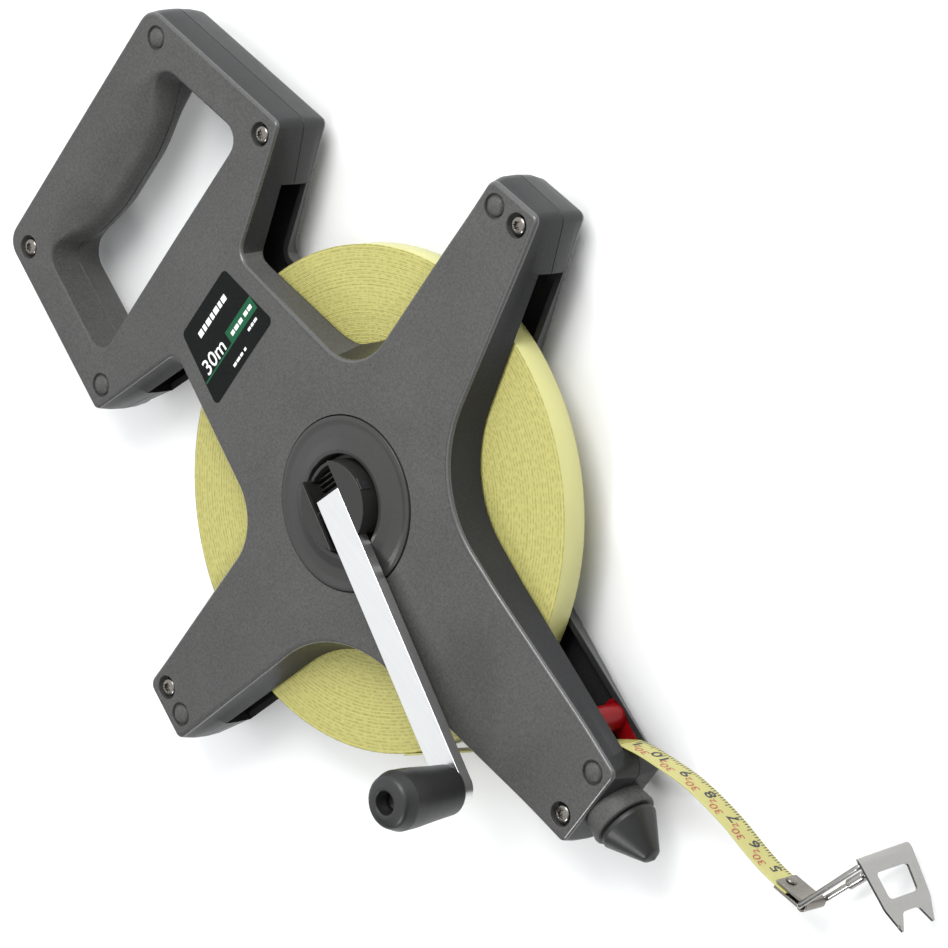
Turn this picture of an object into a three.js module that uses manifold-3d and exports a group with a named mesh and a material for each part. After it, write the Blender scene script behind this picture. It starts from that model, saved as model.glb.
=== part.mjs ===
// Open-frame surveyor tape reel: 30 m of tape, 10 mm wide, on a drum between two identical half shells.
// Millimetres. The reel lies on its back: the origin is on the reel axis at the flat rear cap, +Z runs along
// that axis towards the crank, +X towards the tape mouth and the ground spike, -X towards the handle.
import * as THREE from "three";
import { mergeVertices } from "three/addons/utils/BufferGeometryUtils.js";
import Module from "manifold-3d";

const wasm = await Module();
wasm.setup();

// ---- driving dimensions -------------------------------------------------------------------------------------
const MID = 18.5; // height of the seam between the half shells, over the floor
const GAP = 0.3; // clearance between pieces that touch
const SEAM_GAP = GAP / 2; // each half shell stays this far from the seam
const WALL = 2.4; // shell wall
const FLARE = 2.2; // how far the side walls lean out between face and seam
const RIM_FLARE = 3.6; // reach of the thin rim along the open stretches
const SLOT = 5.5; // half height of the open stretch between the shells
const RIM_HEIGHT = 1.8;
const HUB_Z = 16.7; // shell face over the seam, at the hub
const ARM_Z = 11.3; // and at the arms' ends
const END_Z = 10.7; // and at the handle's outer edge
const HUB_R = 44; // the face falls away from here
const ARM_R = 112; // to here
const FACE_R = 190;

const MOUTH_X = 127.5; // flat end of the mouth arm
const SPIKE_TIP_X = 149.5;
const GRIP_X = -170.5; // outer edge of the handle
const COLLAR_R = 27.5;
const BORE_R = 15.8; // collar bore that the crank hub turns in

const TAPE_WIDTH = 10;
const TAPE_THICKNESS = 0.6;
const WINDING_R = 80;
const DRUM_R = 40;
const WINDING_HALF = 4.7;
const DRUM_HALF = 5.2;
const AXLE_R = 4;

const CRANK_ANGLE = THREE.MathUtils.degToRad(-17); // crank arm's direction at rest
const CRANK_LENGTH = 96.6; // hinge to knob
const CRANK_WIDTH = 10.8;
const CRANK_LOW = 18.8; // underside and face of the crank arm over the seam
const CRANK_HIGH = 23;
const HINGE_X = -0.5; // fold axis along the arm, and over the seam
const HINGE_Z = 20.6;
const PIN_R = 1.25;
const ARM_ROOT = -3.7;
const BOSS_R = 14; // crank hub's boss
const BOSS_Z = 23.4;
const SLOT_FLOOR = 14.2;
const KNOB_TOP = 52.5;

const SCREWS = [
  // where this shell's own screws go; the other shell's land at the same places with y turned round
  { name: "grip_outer", x: -161.2, y: -47 },
  { name: "grip_inner", x: -106.3, y: 56.5 },
  { name: "upper_arm", x: -9.3, y: 111 },
  { name: "lower_arm", x: -19.5, y: -109.2 },
  { name: "mouth", x: 121, y: -9.6 },
];
const RECESS_R = 4.1;

const BLADE_PATH = [
  // middle of the free tape, from the mouth to its end clip, over the seam
  [119.6, 19.3, 0],
  [125.5, 22.3, -0.15],
  [134.6, 25.4, -0.87],
  [142.7, 27.5, -1.92],
  [152.5, 28.4, -3.35],
  [161.4, 28.4, -4.67],
  [169.5, 27.9, -5.65],
  [177.2, 28.0, -6.29],
  [184.7, 29.2, -6.5],
  [188.2, 30.1, -6.5],
];
const CHAIN_Z = -6.5; // middle of the end clip, link ring and hook over the seam
const RING_NEAR = new THREE.Vector2(194.3, 31.6); // link ring's bar in the end clip
const RING_FAR = new THREE.Vector2(202.5, 61.8); // and its bar in the hook
const HOOK_TIP = new THREE.Vector2(224.4, 55.4); // between the hook's points
const HOOK_LEAN = 20; // degrees: the hook's bar runs askew in the link ring
const WIRE_R = 0.95;

// ---- materials ----------------------------------------------------------------------------------------------
const finish = (color, roughness, metalness = 0) =>
  new THREE.MeshStandardMaterial({ color, roughness, metalness });
const SHELL = finish(0x565552, 0.6);
const BLACK = finish(0x1d1d1d, 0.45);
const TAPE = finish(0xd2cf7a, 0.5);
const RED = finish(0xb0121a, 0.35);
const BRIGHT = finish(0xd8d8d6, 0.3, 1);
const STEEL = finish(0x9a9896, 0.25, 1);
const LABEL = finish(0x111413, 0.35);
const NYLON = finish(0xd9d6cc, 0.5);

// ---- solids -------------------------------------------------------------------------------------------------
function solid(geometry) {
  const bare = geometry.index ? geometry.toNonIndexed() : geometry.clone();
  bare.deleteAttribute("normal");
  bare.deleteAttribute("uv");
  const merged = mergeVertices(bare, 1e-4);
  const vertProperties = new Float32Array(merged.attributes.position.array);
  const triVerts = new Uint32Array(merged.index.array);
  return new wasm.Manifold(
    new wasm.Mesh({ numProp: 3, vertProperties, triVerts }),
  );
}

function geometryOf(manifold) {
  const mesh = manifold.getMesh();
  const geometry = new THREE.BufferGeometry();
  const positions = new THREE.BufferAttribute(
    new Float32Array(mesh.vertProperties),
    3,
  );
  geometry.setAttribute("position", positions);
  geometry.setIndex(
    new THREE.BufferAttribute(new Uint32Array(mesh.triVerts), 1),
  );
  return geometry;
}

function shapeOf(points, holes = []) {
  const shape = new THREE.Shape(points);
  shape.holes = holes.map((hole) => new THREE.Path(hole));
  return shape;
}

// A flat shape raised from z = low to z = high.
function slab(shape, low, high) {
  const made = new THREE.ExtrudeGeometry(shape, {
    depth: high - low,
    bevelEnabled: false,
    curveSegments: 12,
  });
  return solid(made.translate(0, 0, low));
}

// A slab whose outline grows by flare from its top down to z = low.
function flaredSlab(shape, low, high, flare, inset = 0) {
  const made = new THREE.ExtrudeGeometry(shape, {
    depth: 1,
    bevelEnabled: true,
    bevelSegments: 1,
    bevelThickness: high - low,
    bevelSize: flare,
    bevelOffset: -inset,
    curveSegments: 12,
  });
  const upper = solid(made.translate(0, 0, low - 1));
  return upper.intersect(
    box(-300, 300, -300, 300, low - 0.001, high + 1),
  );
}

function box(x0, x1, y0, y1, z0, z1) {
  const made = new THREE.BoxGeometry(x1 - x0, y1 - y0, z1 - z0);
  return solid(
    made.translate((x0 + x1) / 2, (y0 + y1) / 2, (z0 + z1) / 2),
  );
}

// A round solid about Z, from [radius, height] corners that start and end on the axis.
function turned(corners, segments = 48) {
  const points = corners.map(([r, z]) => new THREE.Vector2(r, z));
  const made = new THREE.LatheGeometry(points, segments);
  return solid(made.rotateX(Math.PI / 2));
}

// A ring about Z: its corners close on themselves.
function turnedRing(corners, segments = 40) {
  return turned([...corners, corners[0]], segments);
}

function disc(x, y, radius, low, high, segments = 24) {
  const corners = [
    [0, low],
    [radius, low],
    [radius, high],
    [0, high],
  ];
  return turned(corners, segments).translate([x, y, 0]);
}

// ---- outlines of the half shell -----------------------------------------------------------------------------
// Corners of one side, from the mouth to the grip, with the radius of each: [x, y, radius].
const SIDE = [
  [MOUTH_X, 15.8, 2.5],
  [60, 24.6, 60],
  [20.5, 31.2, 42],
  [-4.6, 118.6, 2.5],
  [-26.4, 114.6, 3.5],
  [-21.6, 33.2, 18],
  [-87.2, 21.9, 6],
  [-102.6, 64.8, 2.5],
  [GRIP_X, 52.6, 7],
];

// One corner, rounded: its arc's points. A wide arc gets more of them.
function roundedCorner(before, corner, after, radius) {
  const a = before.clone().sub(corner).normalize();
  const b = after.clone().sub(corner).normalize();
  const half = Math.acos(THREE.MathUtils.clamp(a.dot(b), -1, 1)) / 2;
  const reach = radius / Math.tan(half);
  const middle = a.clone().add(b).normalize();
  middle.multiplyScalar(radius / Math.sin(half)).add(corner);
  const from = corner.clone().addScaledVector(a, reach).sub(middle).angle();
  const to = corner.clone().addScaledVector(b, reach).sub(middle).angle();
  let sweep = to - from;
  if (sweep > Math.PI) sweep -= 2 * Math.PI;
  if (sweep < -Math.PI) sweep += 2 * Math.PI;
  const steps = Math.max(2, Math.round((Math.abs(sweep) * 6) / Math.PI) + 1);
  return Array.from({ length: steps + 1 }, (_, i) => {
    const angle = from + (sweep * i) / steps;
    const spoke = new THREE.Vector2(Math.cos(angle), Math.sin(angle));
    return spoke.multiplyScalar(radius).add(middle);
  });
}

function roundedLoop(corners) {
  const at = corners.map(([x, y]) => new THREE.Vector2(x, y));
  const count = at.length;
  return corners.flatMap(([, , radius], i) =>
    radius
      ? roundedCorner(
          at[(i + count - 1) % count],
          at[i],
          at[(i + 1) % count],
          radius,
        )
      : [at[i]],
  );
}

const mirrored = (corners) =>
  corners.map(([x, y, radius]) => [x, -y, radius]).reverse();

const OUTLINE = roundedLoop([...SIDE, ...mirrored(SIDE)]);

// The finger window: the grip side swells into it.
const WINDOW_SIDE = [
  [-112.6, 49.8, 6],
  [-154.2, 42.2, 7],
  [-147.8, 12, 40],
];
const WINDOW = roundedLoop([...WINDOW_SIDE, ...mirrored(WINDOW_SIDE)]);

const mouthAxis = (geometry) => geometry.rotate([0, 90, 0]);

// The space under the shell's sloping face, lowered by drop.
function roof(drop) {
  return turned(
    [
      [0, -40],
      [FACE_R, -40],
      [FACE_R, END_Z - drop],
      [ARM_R, ARM_Z - drop],
      [HUB_R, HUB_Z - drop],
      [0, HUB_Z - drop],
    ],
    36,
  );
}

// Height of the shell's face over the seam, at a place on it.
function faceHeight(x, y) {
  const r = Math.hypot(x, y);
  if (r < HUB_R) return HUB_Z;
  if (r < ARM_R)
    return THREE.MathUtils.mapLinear(r, HUB_R, ARM_R, HUB_Z, ARM_Z);
  return THREE.MathUtils.mapLinear(r, ARM_R, FACE_R, ARM_Z, END_Z);
}

const OPEN_STRETCHES = [
  // [x0, x1, y0, y1] where the side walls stop short of the seam
  [-99, 121.5, -46, 46],
  [-30, 30, -101.5, 101.5],
];
const SOCKET_R = 10.3;
const SOCKET_END = 134.4;
const STEM_R = 5;
const STEM_START = 122.6;
const GUIDE_HALF = 6.6;

function openStretches(low, high) {
  const [first, second] = OPEN_STRETCHES.map(([x0, x1, y0, y1]) =>
    box(x0, x1, y0, y1, low, high),
  );
  return first.add(second);
}

// One half shell over the seam, face up, in the frame of the front shell.
function halfShell() {
  const outer = flaredSlab(
    shapeOf(OUTLINE, [WINDOW]),
    0,
    END_Z - 0.9,
    FLARE,
  ).add(slab(shapeOf(OUTLINE, [WINDOW]), END_Z - 1, HUB_Z + 1));
  const rim = flaredSlab(
    shapeOf(OUTLINE, [WINDOW]),
    SLOT,
    SLOT + RIM_HEIGHT,
    RIM_FLARE,
  ).intersect(openStretches(SLOT, 12));
  const inner = flaredSlab(
    shapeOf(OUTLINE, [WINDOW]),
    -2,
    END_Z - 0.9,
    FLARE,
    WALL,
  ).add(
    flaredSlab(
      shapeOf(OUTLINE, [WINDOW]),
      END_Z - 2,
      HUB_Z,
      0.01,
      WALL,
    ),
  );
  const cavity = inner.intersect(roof(WALL));
  let shell = outer.add(rim).intersect(roof(0)).subtract(cavity);

  // the bearing seat round the reel axis
  shell = shell
    .add(disc(0, 0, COLLAR_R + 3.6, HUB_Z - 6, HUB_Z - 0.5, 36))
    .subtract(disc(0, 0, COLLAR_R + GAP, HUB_Z - 3, HUB_Z + 5, 36))
    .subtract(disc(0, 0, COLLAR_R - 3, HUB_Z - 9, HUB_Z, 36));

  // the spike socket's half barrel
  const barrel = mouthAxis(disc(0, 0, SOCKET_R, 118, SOCKET_END, 32));
  shell = shell.add(barrel.intersect(box(100, 140, -20, 20, 0, 20)));
  const bore = mouthAxis(
    disc(0, 0, STEM_R + GAP, STEM_START - 1, SOCKET_END + 1, 24),
  );
  shell = shell.subtract(bore);

  // screw posts, with this shell's counterbores and the domes over the other shell's threads
  for (const { x, y } of SCREWS) {
    const z = faceHeight(x, y);
    shell = shell
      .add(disc(x, y, RECESS_R + 1, 0, z - 0.3, 12))
      .add(disc(x, -y, RECESS_R + 1, 0, z - 0.3, 12));
    shell = shell
      .subtract(disc(x, y, RECESS_R, z - 2.4, z + 1, 16))
      .subtract(disc(x, -y, RECESS_R, z - 0.9, z + 1, 16))
      .add(
        turned(
          [
            [0, z - 1.5],
            [3.3, z - 1.5],
            [3.3, z - 0.7],
            [2, z + 0.1],
            [0, z + 0.35],
          ],
          12,
        ).translate([x, -y, 0]),
      )
      .subtract(disc(x, y, 1.3 + GAP, -1, z, 8))
      .subtract(disc(x, -y, 1.3 + GAP, -1, 5.6, 8));
  }

  // the open stretches, the tape guide's seat on both sides, and the seam's gap
  return shell
    .subtract(openStretches(-1, SLOT))
    .subtract(box(101.3, 122.2, -30, 30, -1, GUIDE_HALF + GAP))
    .intersect(box(-200, 200, -200, 200, SEAM_GAP, 40));
}

// A pan-head screw that points down from z = 0 under its head, with a crossed recess.
function screw(length) {
  const body = turned(
    [
      [0, -length],
      [1.1, -length + 1.2],
      [1.1, 0],
      [3.1, 0],
      [3.1, 0.8],
      [2.3, 1.7],
      [0, 2],
    ],
    12,
  );
  const arm = box(-2, 2, -0.4, 0.4, 0.9, 3);
  return body.subtract(arm).subtract(arm.rotate([0, 0, 90]));
}

// ---- the object's scene graph -------------------------------------------------------------------------------
const root = new THREE.Group();
const frame = new THREE.Group(); // measured from the seam
frame.position.z = MID;
root.add(frame);

function piece(name, manifold, material, parent = frame) {
  const mesh = new THREE.Mesh(geometryOf(manifold), material);
  mesh.name = name;
  parent.add(mesh);
  return mesh;
}

const rear = new THREE.Group(); // the same half turned over about the long axis
rear.rotation.x = Math.PI;
frame.add(rear);

// A half shell is one moulding. It is cut into five nodes, so that each can leave its slot open to the tape.
const ARM_CUT = 45;
const HANDLE_CUT = -75;
const MOUTH_CUT = 60;
const FAR = 200; // past everything
const half = halfShell();
for (const [section, x0, x1, y0, y1] of [
  ["hub", HANDLE_CUT, MOUTH_CUT, -ARM_CUT, ARM_CUT],
  ["upper_arm", HANDLE_CUT, MOUTH_CUT, ARM_CUT, FAR],
  ["lower_arm", HANDLE_CUT, MOUTH_CUT, -FAR, -ARM_CUT],
  ["handle", -FAR, HANDLE_CUT, -FAR, FAR],
  ["mouth_arm", MOUTH_CUT, FAR, -FAR, FAR],
]) {
  const cut = half.intersect(
    box(x0 + GAP / 2, x1 - GAP / 2, y0 + GAP / 2, y1 - GAP / 2, 0, FAR),
  );
  piece(`front_shell_${section}`, cut, SHELL);
  piece(`rear_shell_${section}`, cut, SHELL, rear);
}

for (const [side, parent] of [
  ["front", frame],
  ["rear", rear],
]) {
  for (const { name, x, y } of SCREWS) {
    const under = faceHeight(x, y) - 2.4 + GAP;
    const made = screw(under + 4.5).translate([x, y, under]);
    piece(`${side}_screw_${name}`, made, STEEL, parent);
  }
}

// label on the handle arm
const label = new THREE.Shape(
  roundedLoop([
    [-88.6, 14.6, 2],
    [-88.6, -14.6, 2],
    [-61, -19.4, 2],
    [-61, 19.4, 2],
  ]),
);
const labelSlope = (HUB_Z - ARM_Z) / (ARM_R - HUB_R);
piece(
  "label",
  slab(label, 0, 0.3)
    .translate([75, 0, 0])
    .rotate([0, -THREE.MathUtils.radToDeg(Math.atan(labelSlope)), 0])
    .translate([-75, 0, faceHeight(75, 0) + 0.12]),
  LABEL,
);

// bearings
piece(
  "hub_collar",
  turnedRing([
    [BORE_R, 10.5],
    [COLLAR_R - 3.4, 10.5],
    [COLLAR_R - 3.4, HUB_Z - 2.7],
    [COLLAR_R, HUB_Z - 2.7],
    [COLLAR_R, HUB_Z - 0.3],
    [COLLAR_R - 0.7, HUB_Z + 0.3],
    [COLLAR_R - 5, HUB_Z + 1],
    [BORE_R + 1, HUB_Z + 2.1],
    [BORE_R, HUB_Z + 1.6],
  ]),
  SHELL,
);
piece(
  "rear_cap",
  turned(
    [
      [0, -MID],
      [COLLAR_R - 1.8, -MID],
      [COLLAR_R, -MID + 1.6],
      [COLLAR_R, -HUB_Z + 2.7],
      [COLLAR_R - 3.4, -HUB_Z + 2.7],
      [COLLAR_R - 3.4, -10.5],
      [COLLAR_R - 5.4, -10.5],
      [COLLAR_R - 5.4, -15.5],
      [12, -15.5],
      [12, -7.2],
      [AXLE_R + GAP, -7.2],
      [AXLE_R + GAP, -17.3],
      [0, -17.3],
    ],
    40,
  ),
  SHELL,
);
piece(
  "front_thrust_washer",
  turnedRing([
    [BORE_R + 0.5, 9.1],
    [22, 9.1],
    [22, 10.2],
    [BORE_R + 0.5, 10.2],
  ]),
  NYLON,
);
piece(
  "rear_thrust_washer",
  turnedRing(
    [
      [AXLE_R + 0.6, -6.9],
      [12, -6.9],
      [12, -5.7],
      [AXLE_R + 0.6, -5.7],
    ],
    32,
  ),
  NYLON,
);

// reel
piece(
  "axle",
  turned(
    [
      [0, -17],
      [AXLE_R - 0.6, -17],
      [AXLE_R, -16.4],
      [AXLE_R, 12],
      [0, 12],
    ],
    24,
  ),
  STEEL,
);
piece(
  "tape_drum",
  turnedRing([
    [AXLE_R + GAP, -5.4],
    [13, -5.4],
    [13, -2],
    [DRUM_R - 3.4, -2],
    [DRUM_R - 3.4, -DRUM_HALF],
    [DRUM_R, -DRUM_HALF],
    [DRUM_R, DRUM_HALF],
    [DRUM_R - 3.4, DRUM_HALF],
    [DRUM_R - 3.4, 2],
    [22, 2],
    [22, 5.3],
    [AXLE_R + GAP, 5.3],
  ]),
  BLACK,
);
piece(
  "tape_winding",
  turnedRing(
    [
      [DRUM_R + GAP, -WINDING_HALF],
      [WINDING_R, -WINDING_HALF],
      [WINDING_R, WINDING_HALF],
      [DRUM_R + GAP, WINDING_HALF],
    ],
    72,
  ),
  TAPE,
);

// crank, made along +X and turned to its resting direction
const crank = new THREE.Group();
crank.rotation.z = CRANK_ANGLE;
frame.add(crank);
const hubBody = turnedRing(
  [
    [AXLE_R + GAP, 5.6],
    [22, 5.6],
    [22, 8.8],
    [BORE_R - 0.5, 8.8],
    [BORE_R - 0.5, 15.4],
    [BOSS_R, 15.8],
    [BOSS_R, BOSS_Z - 0.4],
    [BOSS_R - 0.4, BOSS_Z],
    [AXLE_R + GAP, BOSS_Z],
  ],
  40,
);
const hubCore = disc(0, 0, AXLE_R + 1, 12.3, SLOT_FLOOR + 1);
const hubSlot = box(-20, 20, -7.2, CRANK_WIDTH / 2 + GAP, SLOT_FLOOR, 30);
const acrossHub = (radius, from, to) =>
  disc(0, 0, radius, from, to, 16)
    .rotate([-90, 0, 0])
    .translate([HINGE_X, 0, HINGE_Z]);
piece(
  "crank_hub",
  hubBody
    .add(hubCore)
    .subtract(hubSlot)
    .subtract(acrossHub(PIN_R + GAP, -20, 20)),
  BLACK,
  crank,
);
piece("crank_hinge_pin", acrossHub(PIN_R, -13.2, 13.2), STEEL, crank);
const armOutline = new THREE.Shape();
armOutline.moveTo(ARM_ROOT, -CRANK_WIDTH / 2);
armOutline.lineTo(CRANK_LENGTH, -CRANK_WIDTH / 2);
armOutline.absarc(
  CRANK_LENGTH,
  0,
  CRANK_WIDTH / 2,
  -Math.PI / 2,
  Math.PI / 2,
  false,
);
armOutline.lineTo(ARM_ROOT, CRANK_WIDTH / 2);
piece(
  "crank_arm",
  slab(armOutline, CRANK_LOW, CRANK_HIGH)
    .subtract(acrossHub(PIN_R + GAP, -20, 20))
    .subtract(disc(CRANK_LENGTH, 0, 2.2 + GAP, 0, 30, 16)),
  BRIGHT,
  crank,
);
piece(
  "knob_rivet",
  turned(
    [
      [0, CRANK_LOW - 1.9],
      [3.4, CRANK_LOW - 1.9],
      [4.2, CRANK_LOW - GAP],
      [2.2, CRANK_LOW - GAP],
      [2.2, 46.7],
      [3.1, 46.7],
      [3.1, 47.8],
      [0, 47.8],
    ],
    24,
  ).translate([CRANK_LENGTH, 0, 0]),
  STEEL,
  crank,
);
piece(
  "crank_knob",
  turnedRing(
    [
      [2.2 + GAP, CRANK_HIGH + 0.4],
      [6.6, CRANK_HIGH + 0.4],
      [7.9, CRANK_HIGH + 1.8],
      [8.2, 30],
      [9.3, 42],
      [9.4, 46.5],
      [8.4, 50.4],
      [6.2, KNOB_TOP],
      [3.4, KNOB_TOP],
      [3.4, 46.6],
      [2.2 + GAP, 46.4],
    ],
    40,
  ).translate([CRANK_LENGTH, 0, 0]),
  BLACK,
  crank,
);

// tape guide in the mouth: two cheeks, a round upper nose and a lower lip
const cheek = shapeOf(
  roundedLoop([
    [101.6, 12.4, 3],
    [119.6, 12.4, 2],
    [119.6, 17.2, 1.5],
    [108.6, 20.9, 3],
    [102.6, 20.9, 3],
  ]),
);
const guide = slab(cheek, -GUIDE_HALF, -5.5)
  .add(slab(cheek, 5.5, GUIDE_HALF))
  .add(disc(107.6, 16.6, 4.2, -5.6, 5.6, 24))
  .add(disc(119.2, 13.6, 2.6, -5.6, 5.6, 20));
piece("tape_guide", guide, RED);

// ground spike on the mouth's end
piece(
  "ground_spike",
  mouthAxis(
    turned(
      [
        [0, STEM_START],
        [STEM_R, STEM_START],
        [STEM_R, SOCKET_END + GAP],
        [8.8, SOCKET_END + GAP],
        [9.5, SOCKET_END + 1.1],
        [9.5, SOCKET_END + 2.2],
        [3.4, SPIKE_TIP_X - 2.2],
        [2.2, SPIKE_TIP_X - 0.6],
        [0, SPIKE_TIP_X],
      ],
      40,
    ),
  ),
  BLACK,
);

// ---- tape between the winding and the hook ------------------------------------------------------------------
// A strip on edge: it follows the points, as wide as the tape, and keeps their heights.
function strip(points, width, thickness, steps) {
  const curve = new THREE.CatmullRomCurve3(
    points.map((p) => new THREE.Vector3(...p)),
    false,
    "centripetal",
  );
  const middle = curve.getSpacedPoints(steps);
  const made = new THREE.BoxGeometry(steps, thickness, width, steps, 1, 1);
  const at = made.attributes.position;
  for (let i = 0; i < at.count; i++) {
    const station = Math.round(at.getX(i) + steps / 2);
    const here = middle[station];
    const before = middle[Math.max(0, station - 1)];
    const after = middle[Math.min(steps, station + 1)];
    const along = new THREE.Vector2(after.x - before.x, after.y - before.y);
    along.normalize().multiplyScalar(at.getY(i));
    at.setXYZ(i, here.x - along.y, here.y + along.x, here.z + at.getZ(i));
  }
  return solid(made);
}

const LEAD_PATH = [
  // straight off the winding's rim, then over the guide's lower lip
  [62.6, -50.3, 0],
  [79.4, -29.6, 0],
  [96.1, -8.9, 0],
  [108.6, 6.6, 0],
  [113.4, 12.6, 0],
  [119.25, 18.95, 0],
];
piece("tape_lead", strip(LEAD_PATH, TAPE_WIDTH, TAPE_THICKNESS, 24), TAPE);
piece("tape_blade", strip(BLADE_PATH, TAPE_WIDTH, TAPE_THICKNESS, 30), TAPE);

// ---- end clip, link ring and hook ---------------------------------------------------------------------------
const chain = new THREE.Group();
chain.position.z = CHAIN_Z;
frame.add(chain);

const clipEnd = new THREE.Vector2(BLADE_PATH.at(-1)[0], BLADE_PATH.at(-1)[1]);
const clipAim = RING_NEAR.clone().sub(clipEnd);
const clip = new THREE.Group(); // its +X runs from the tape's end to the link ring
clip.position.set(clipEnd.x, clipEnd.y, 0);
clip.rotation.z = clipAim.angle();
chain.add(clip);
const eyeX = clipAim.length();
const EYE_R = WIRE_R + GAP;
const clipBody = box(-0.7, eyeX, -1.3, 1.3, -4.4, 4.4)
  .add(disc(eyeX, 0, EYE_R + 0.8, -4.4, 4.4, 20))
  .subtract(disc(eyeX, 0, EYE_R, -10, 10, 20));
const clipJaws = box(-6.4, 0, -1.5, -0.6, -5.3, 5.3).add(
  box(-6.4, 0, 0.6, 1.5, -5.3, 5.3),
);
const acrossClip = (radius, from, to) =>
  disc(0, 0, radius, from, to, 16).rotate([-90, 0, 0]).translate([-3.4, 0, 0]);
piece(
  "end_clip",
  clipJaws
    .add(box(0.3, 1.2, -1.5, 1.5, -5.3, 5.3))
    .add(box(-6.4, 0.6, -1.5, -0.7, -5.3, 5.3))
    .add(box(-6.4, 0.6, 0.7, 1.5, -5.3, 5.3))
    .add(clipBody.intersect(box(0.3, 20, -5, 5, -10, 10)))
    .subtract(acrossClip(1.1 + GAP, 0.1, 5)),
  STEEL,
  clip,
);
piece("clip_rivet", acrossClip(1.1, 0.65, 2.1), STEEL, clip);

// the link ring is one bent wire, open where its sleeve covers the joint
const link = new THREE.Group(); // its +X runs from the clip's bar to the hook's bar
link.position.set(RING_NEAR.x, RING_NEAR.y, 0);
const linkAim = RING_FAR.clone().sub(RING_NEAR);
link.rotation.z = linkAim.angle();
chain.add(link);
const LINK_LENGTH = linkAim.length();
const LINK_NEAR_HALF = 6.2;
const LINK_FAR_HALF = 8;
const LINK_SKEW = LINK_FAR_HALF * Math.tan(THREE.MathUtils.degToRad(HOOK_LEAN));
const SLEEVE_AT = 0.4; // share of the way along the rear side
const linkLoop = roundedLoop([
  [0, -LINK_NEAR_HALF, 2],
  [LINK_LENGTH + LINK_SKEW, -LINK_FAR_HALF, 1.9],
  [LINK_LENGTH - LINK_SKEW, LINK_FAR_HALF, 1.9],
  [0, LINK_NEAR_HALF, 2],
]);
const jointAt = new THREE.Vector2(
  (LINK_LENGTH + LINK_SKEW) * SLEEVE_AT,
  -THREE.MathUtils.lerp(LINK_NEAR_HALF, LINK_FAR_HALF, SLEEVE_AT),
);
const cutAt = linkLoop.findIndex(
  (p, i) => p.x < jointAt.x && linkLoop[(i + 1) % linkLoop.length].x > jointAt.x && p.y < 0,
);
const aimJoint = linkLoop[cutAt + 1].clone().sub(linkLoop[cutAt]).normalize();
const wirePoints = [
  jointAt.clone().addScaledVector(aimJoint, 0.2),
  ...linkLoop.slice(cutAt + 1),
  ...linkLoop.slice(0, cutAt + 1),
  jointAt.clone().addScaledVector(aimJoint, -0.2),
];
const circleShape = (radius, sides) =>
  new THREE.Shape(
    Array.from({ length: sides }, (_, i) => {
      const angle = (2 * Math.PI * i) / sides;
      return new THREE.Vector2(
        radius * Math.cos(angle),
        radius * Math.sin(angle),
      );
    }),
  );
function wire(points, radius) {
  const path = new THREE.CurvePath();
  for (let i = 0; i + 1 < points.length; i++) {
    const from = new THREE.Vector3(points[i].x, 0, points[i].y);
    const to = new THREE.Vector3(points[i + 1].x, 0, points[i + 1].y);
    path.add(new THREE.LineCurve3(from, to));
  }
  const made = new THREE.ExtrudeGeometry(circleShape(radius, 8), {
    steps: 48,
    extrudePath: path,
  });
  return solid(made);
}
piece("link_ring", wire(wirePoints, WIRE_R), STEEL, link);
const sleeve = turnedRing(
  [
    [WIRE_R + 0.15, -3.2],
    [WIRE_R + 0.75, -3.2],
    [WIRE_R + 0.75, 3.2],
    [WIRE_R + 0.15, 3.2],
  ],
  16,
);
const sleevePiece = piece("link_sleeve", sleeve, STEEL, link);
sleevePiece.position.set(jointAt.x, 0, jointAt.y);
sleevePiece.rotation.y = Math.PI / 2 - Math.atan2(aimJoint.y, aimJoint.x);

// the hook: a stamped plate rolled round the link ring's far bar
const hook = new THREE.Group(); // its +X runs from the roll to the points
hook.position.set(RING_FAR.x, RING_FAR.y, 0);
const hookAim = HOOK_TIP.clone().sub(RING_FAR);
hook.rotation.order = "ZXY";
hook.rotation.z = hookAim.angle();
hook.rotation.x = THREE.MathUtils.degToRad(HOOK_LEAN);
chain.add(hook);
const HOOK_LENGTH = hookAim.length();
const HOOK_THICKNESS = 1.2;
const ROLL_HALF = 9.5;
const KNUCKLE_HALF = 5;
const plate = shapeOf(
  roundedLoop([
    [1, -ROLL_HALF, 0],
    [HOOK_LENGTH - 8, -8, 8],
    [HOOK_LENGTH, -5.5, 0.4],
    [HOOK_LENGTH - 6, -2.8, 1.4],
    [HOOK_LENGTH - 6, 2.8, 1.4],
    [HOOK_LENGTH, 5.5, 0.4],
    [HOOK_LENGTH - 8, 8, 8],
    [1, ROLL_HALF, 0],
  ]),
  [
    roundedLoop([
      [3.7, -5.6, 1.2],
      [3.7, 5.6, 1.2],
      [HOOK_LENGTH - 10.4, 5, 1.4],
      [HOOK_LENGTH - 10.4, -5, 1.4],
    ]),
  ],
);
const rollInner = WIRE_R + GAP;
const rollOuter = rollInner + HOOK_THICKNESS;
const rollEnds = disc(0, 0, rollOuter, -ROLL_HALF, ROLL_HALF, 28)
  .subtract(box(0, 9, -9, rollInner, -20, 20))
  .subtract(box(0, 9, -9, 0, -20, 20).rotate([0, 0, -46]));
piece(
  "tape_hook",
  slab(plate, 0, HOOK_THICKNESS)
    .rotate([90, 0, 0])
    .translate([0, rollOuter, 0])
    .add(rollEnds)
    .add(disc(0, 0, rollOuter, -KNUCKLE_HALF, KNUCKLE_HALF, 28))
    .subtract(disc(0, 0, rollInner, -20, 20, 20)),
  STEEL,
  hook,
);

export default root;
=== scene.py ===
"""Looks of the open-frame surveyor tape reel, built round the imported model.

Shapes are made in millimetres, measured from the seam between the two half shells, as in the model's own
source, and are placed in the row frame in metres.
"""

import math
import random

import bmesh
import bpy
import numpy as np
from mathutils import Matrix, Vector
from mathutils.geometry import delaunay_2d_cdt


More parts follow.
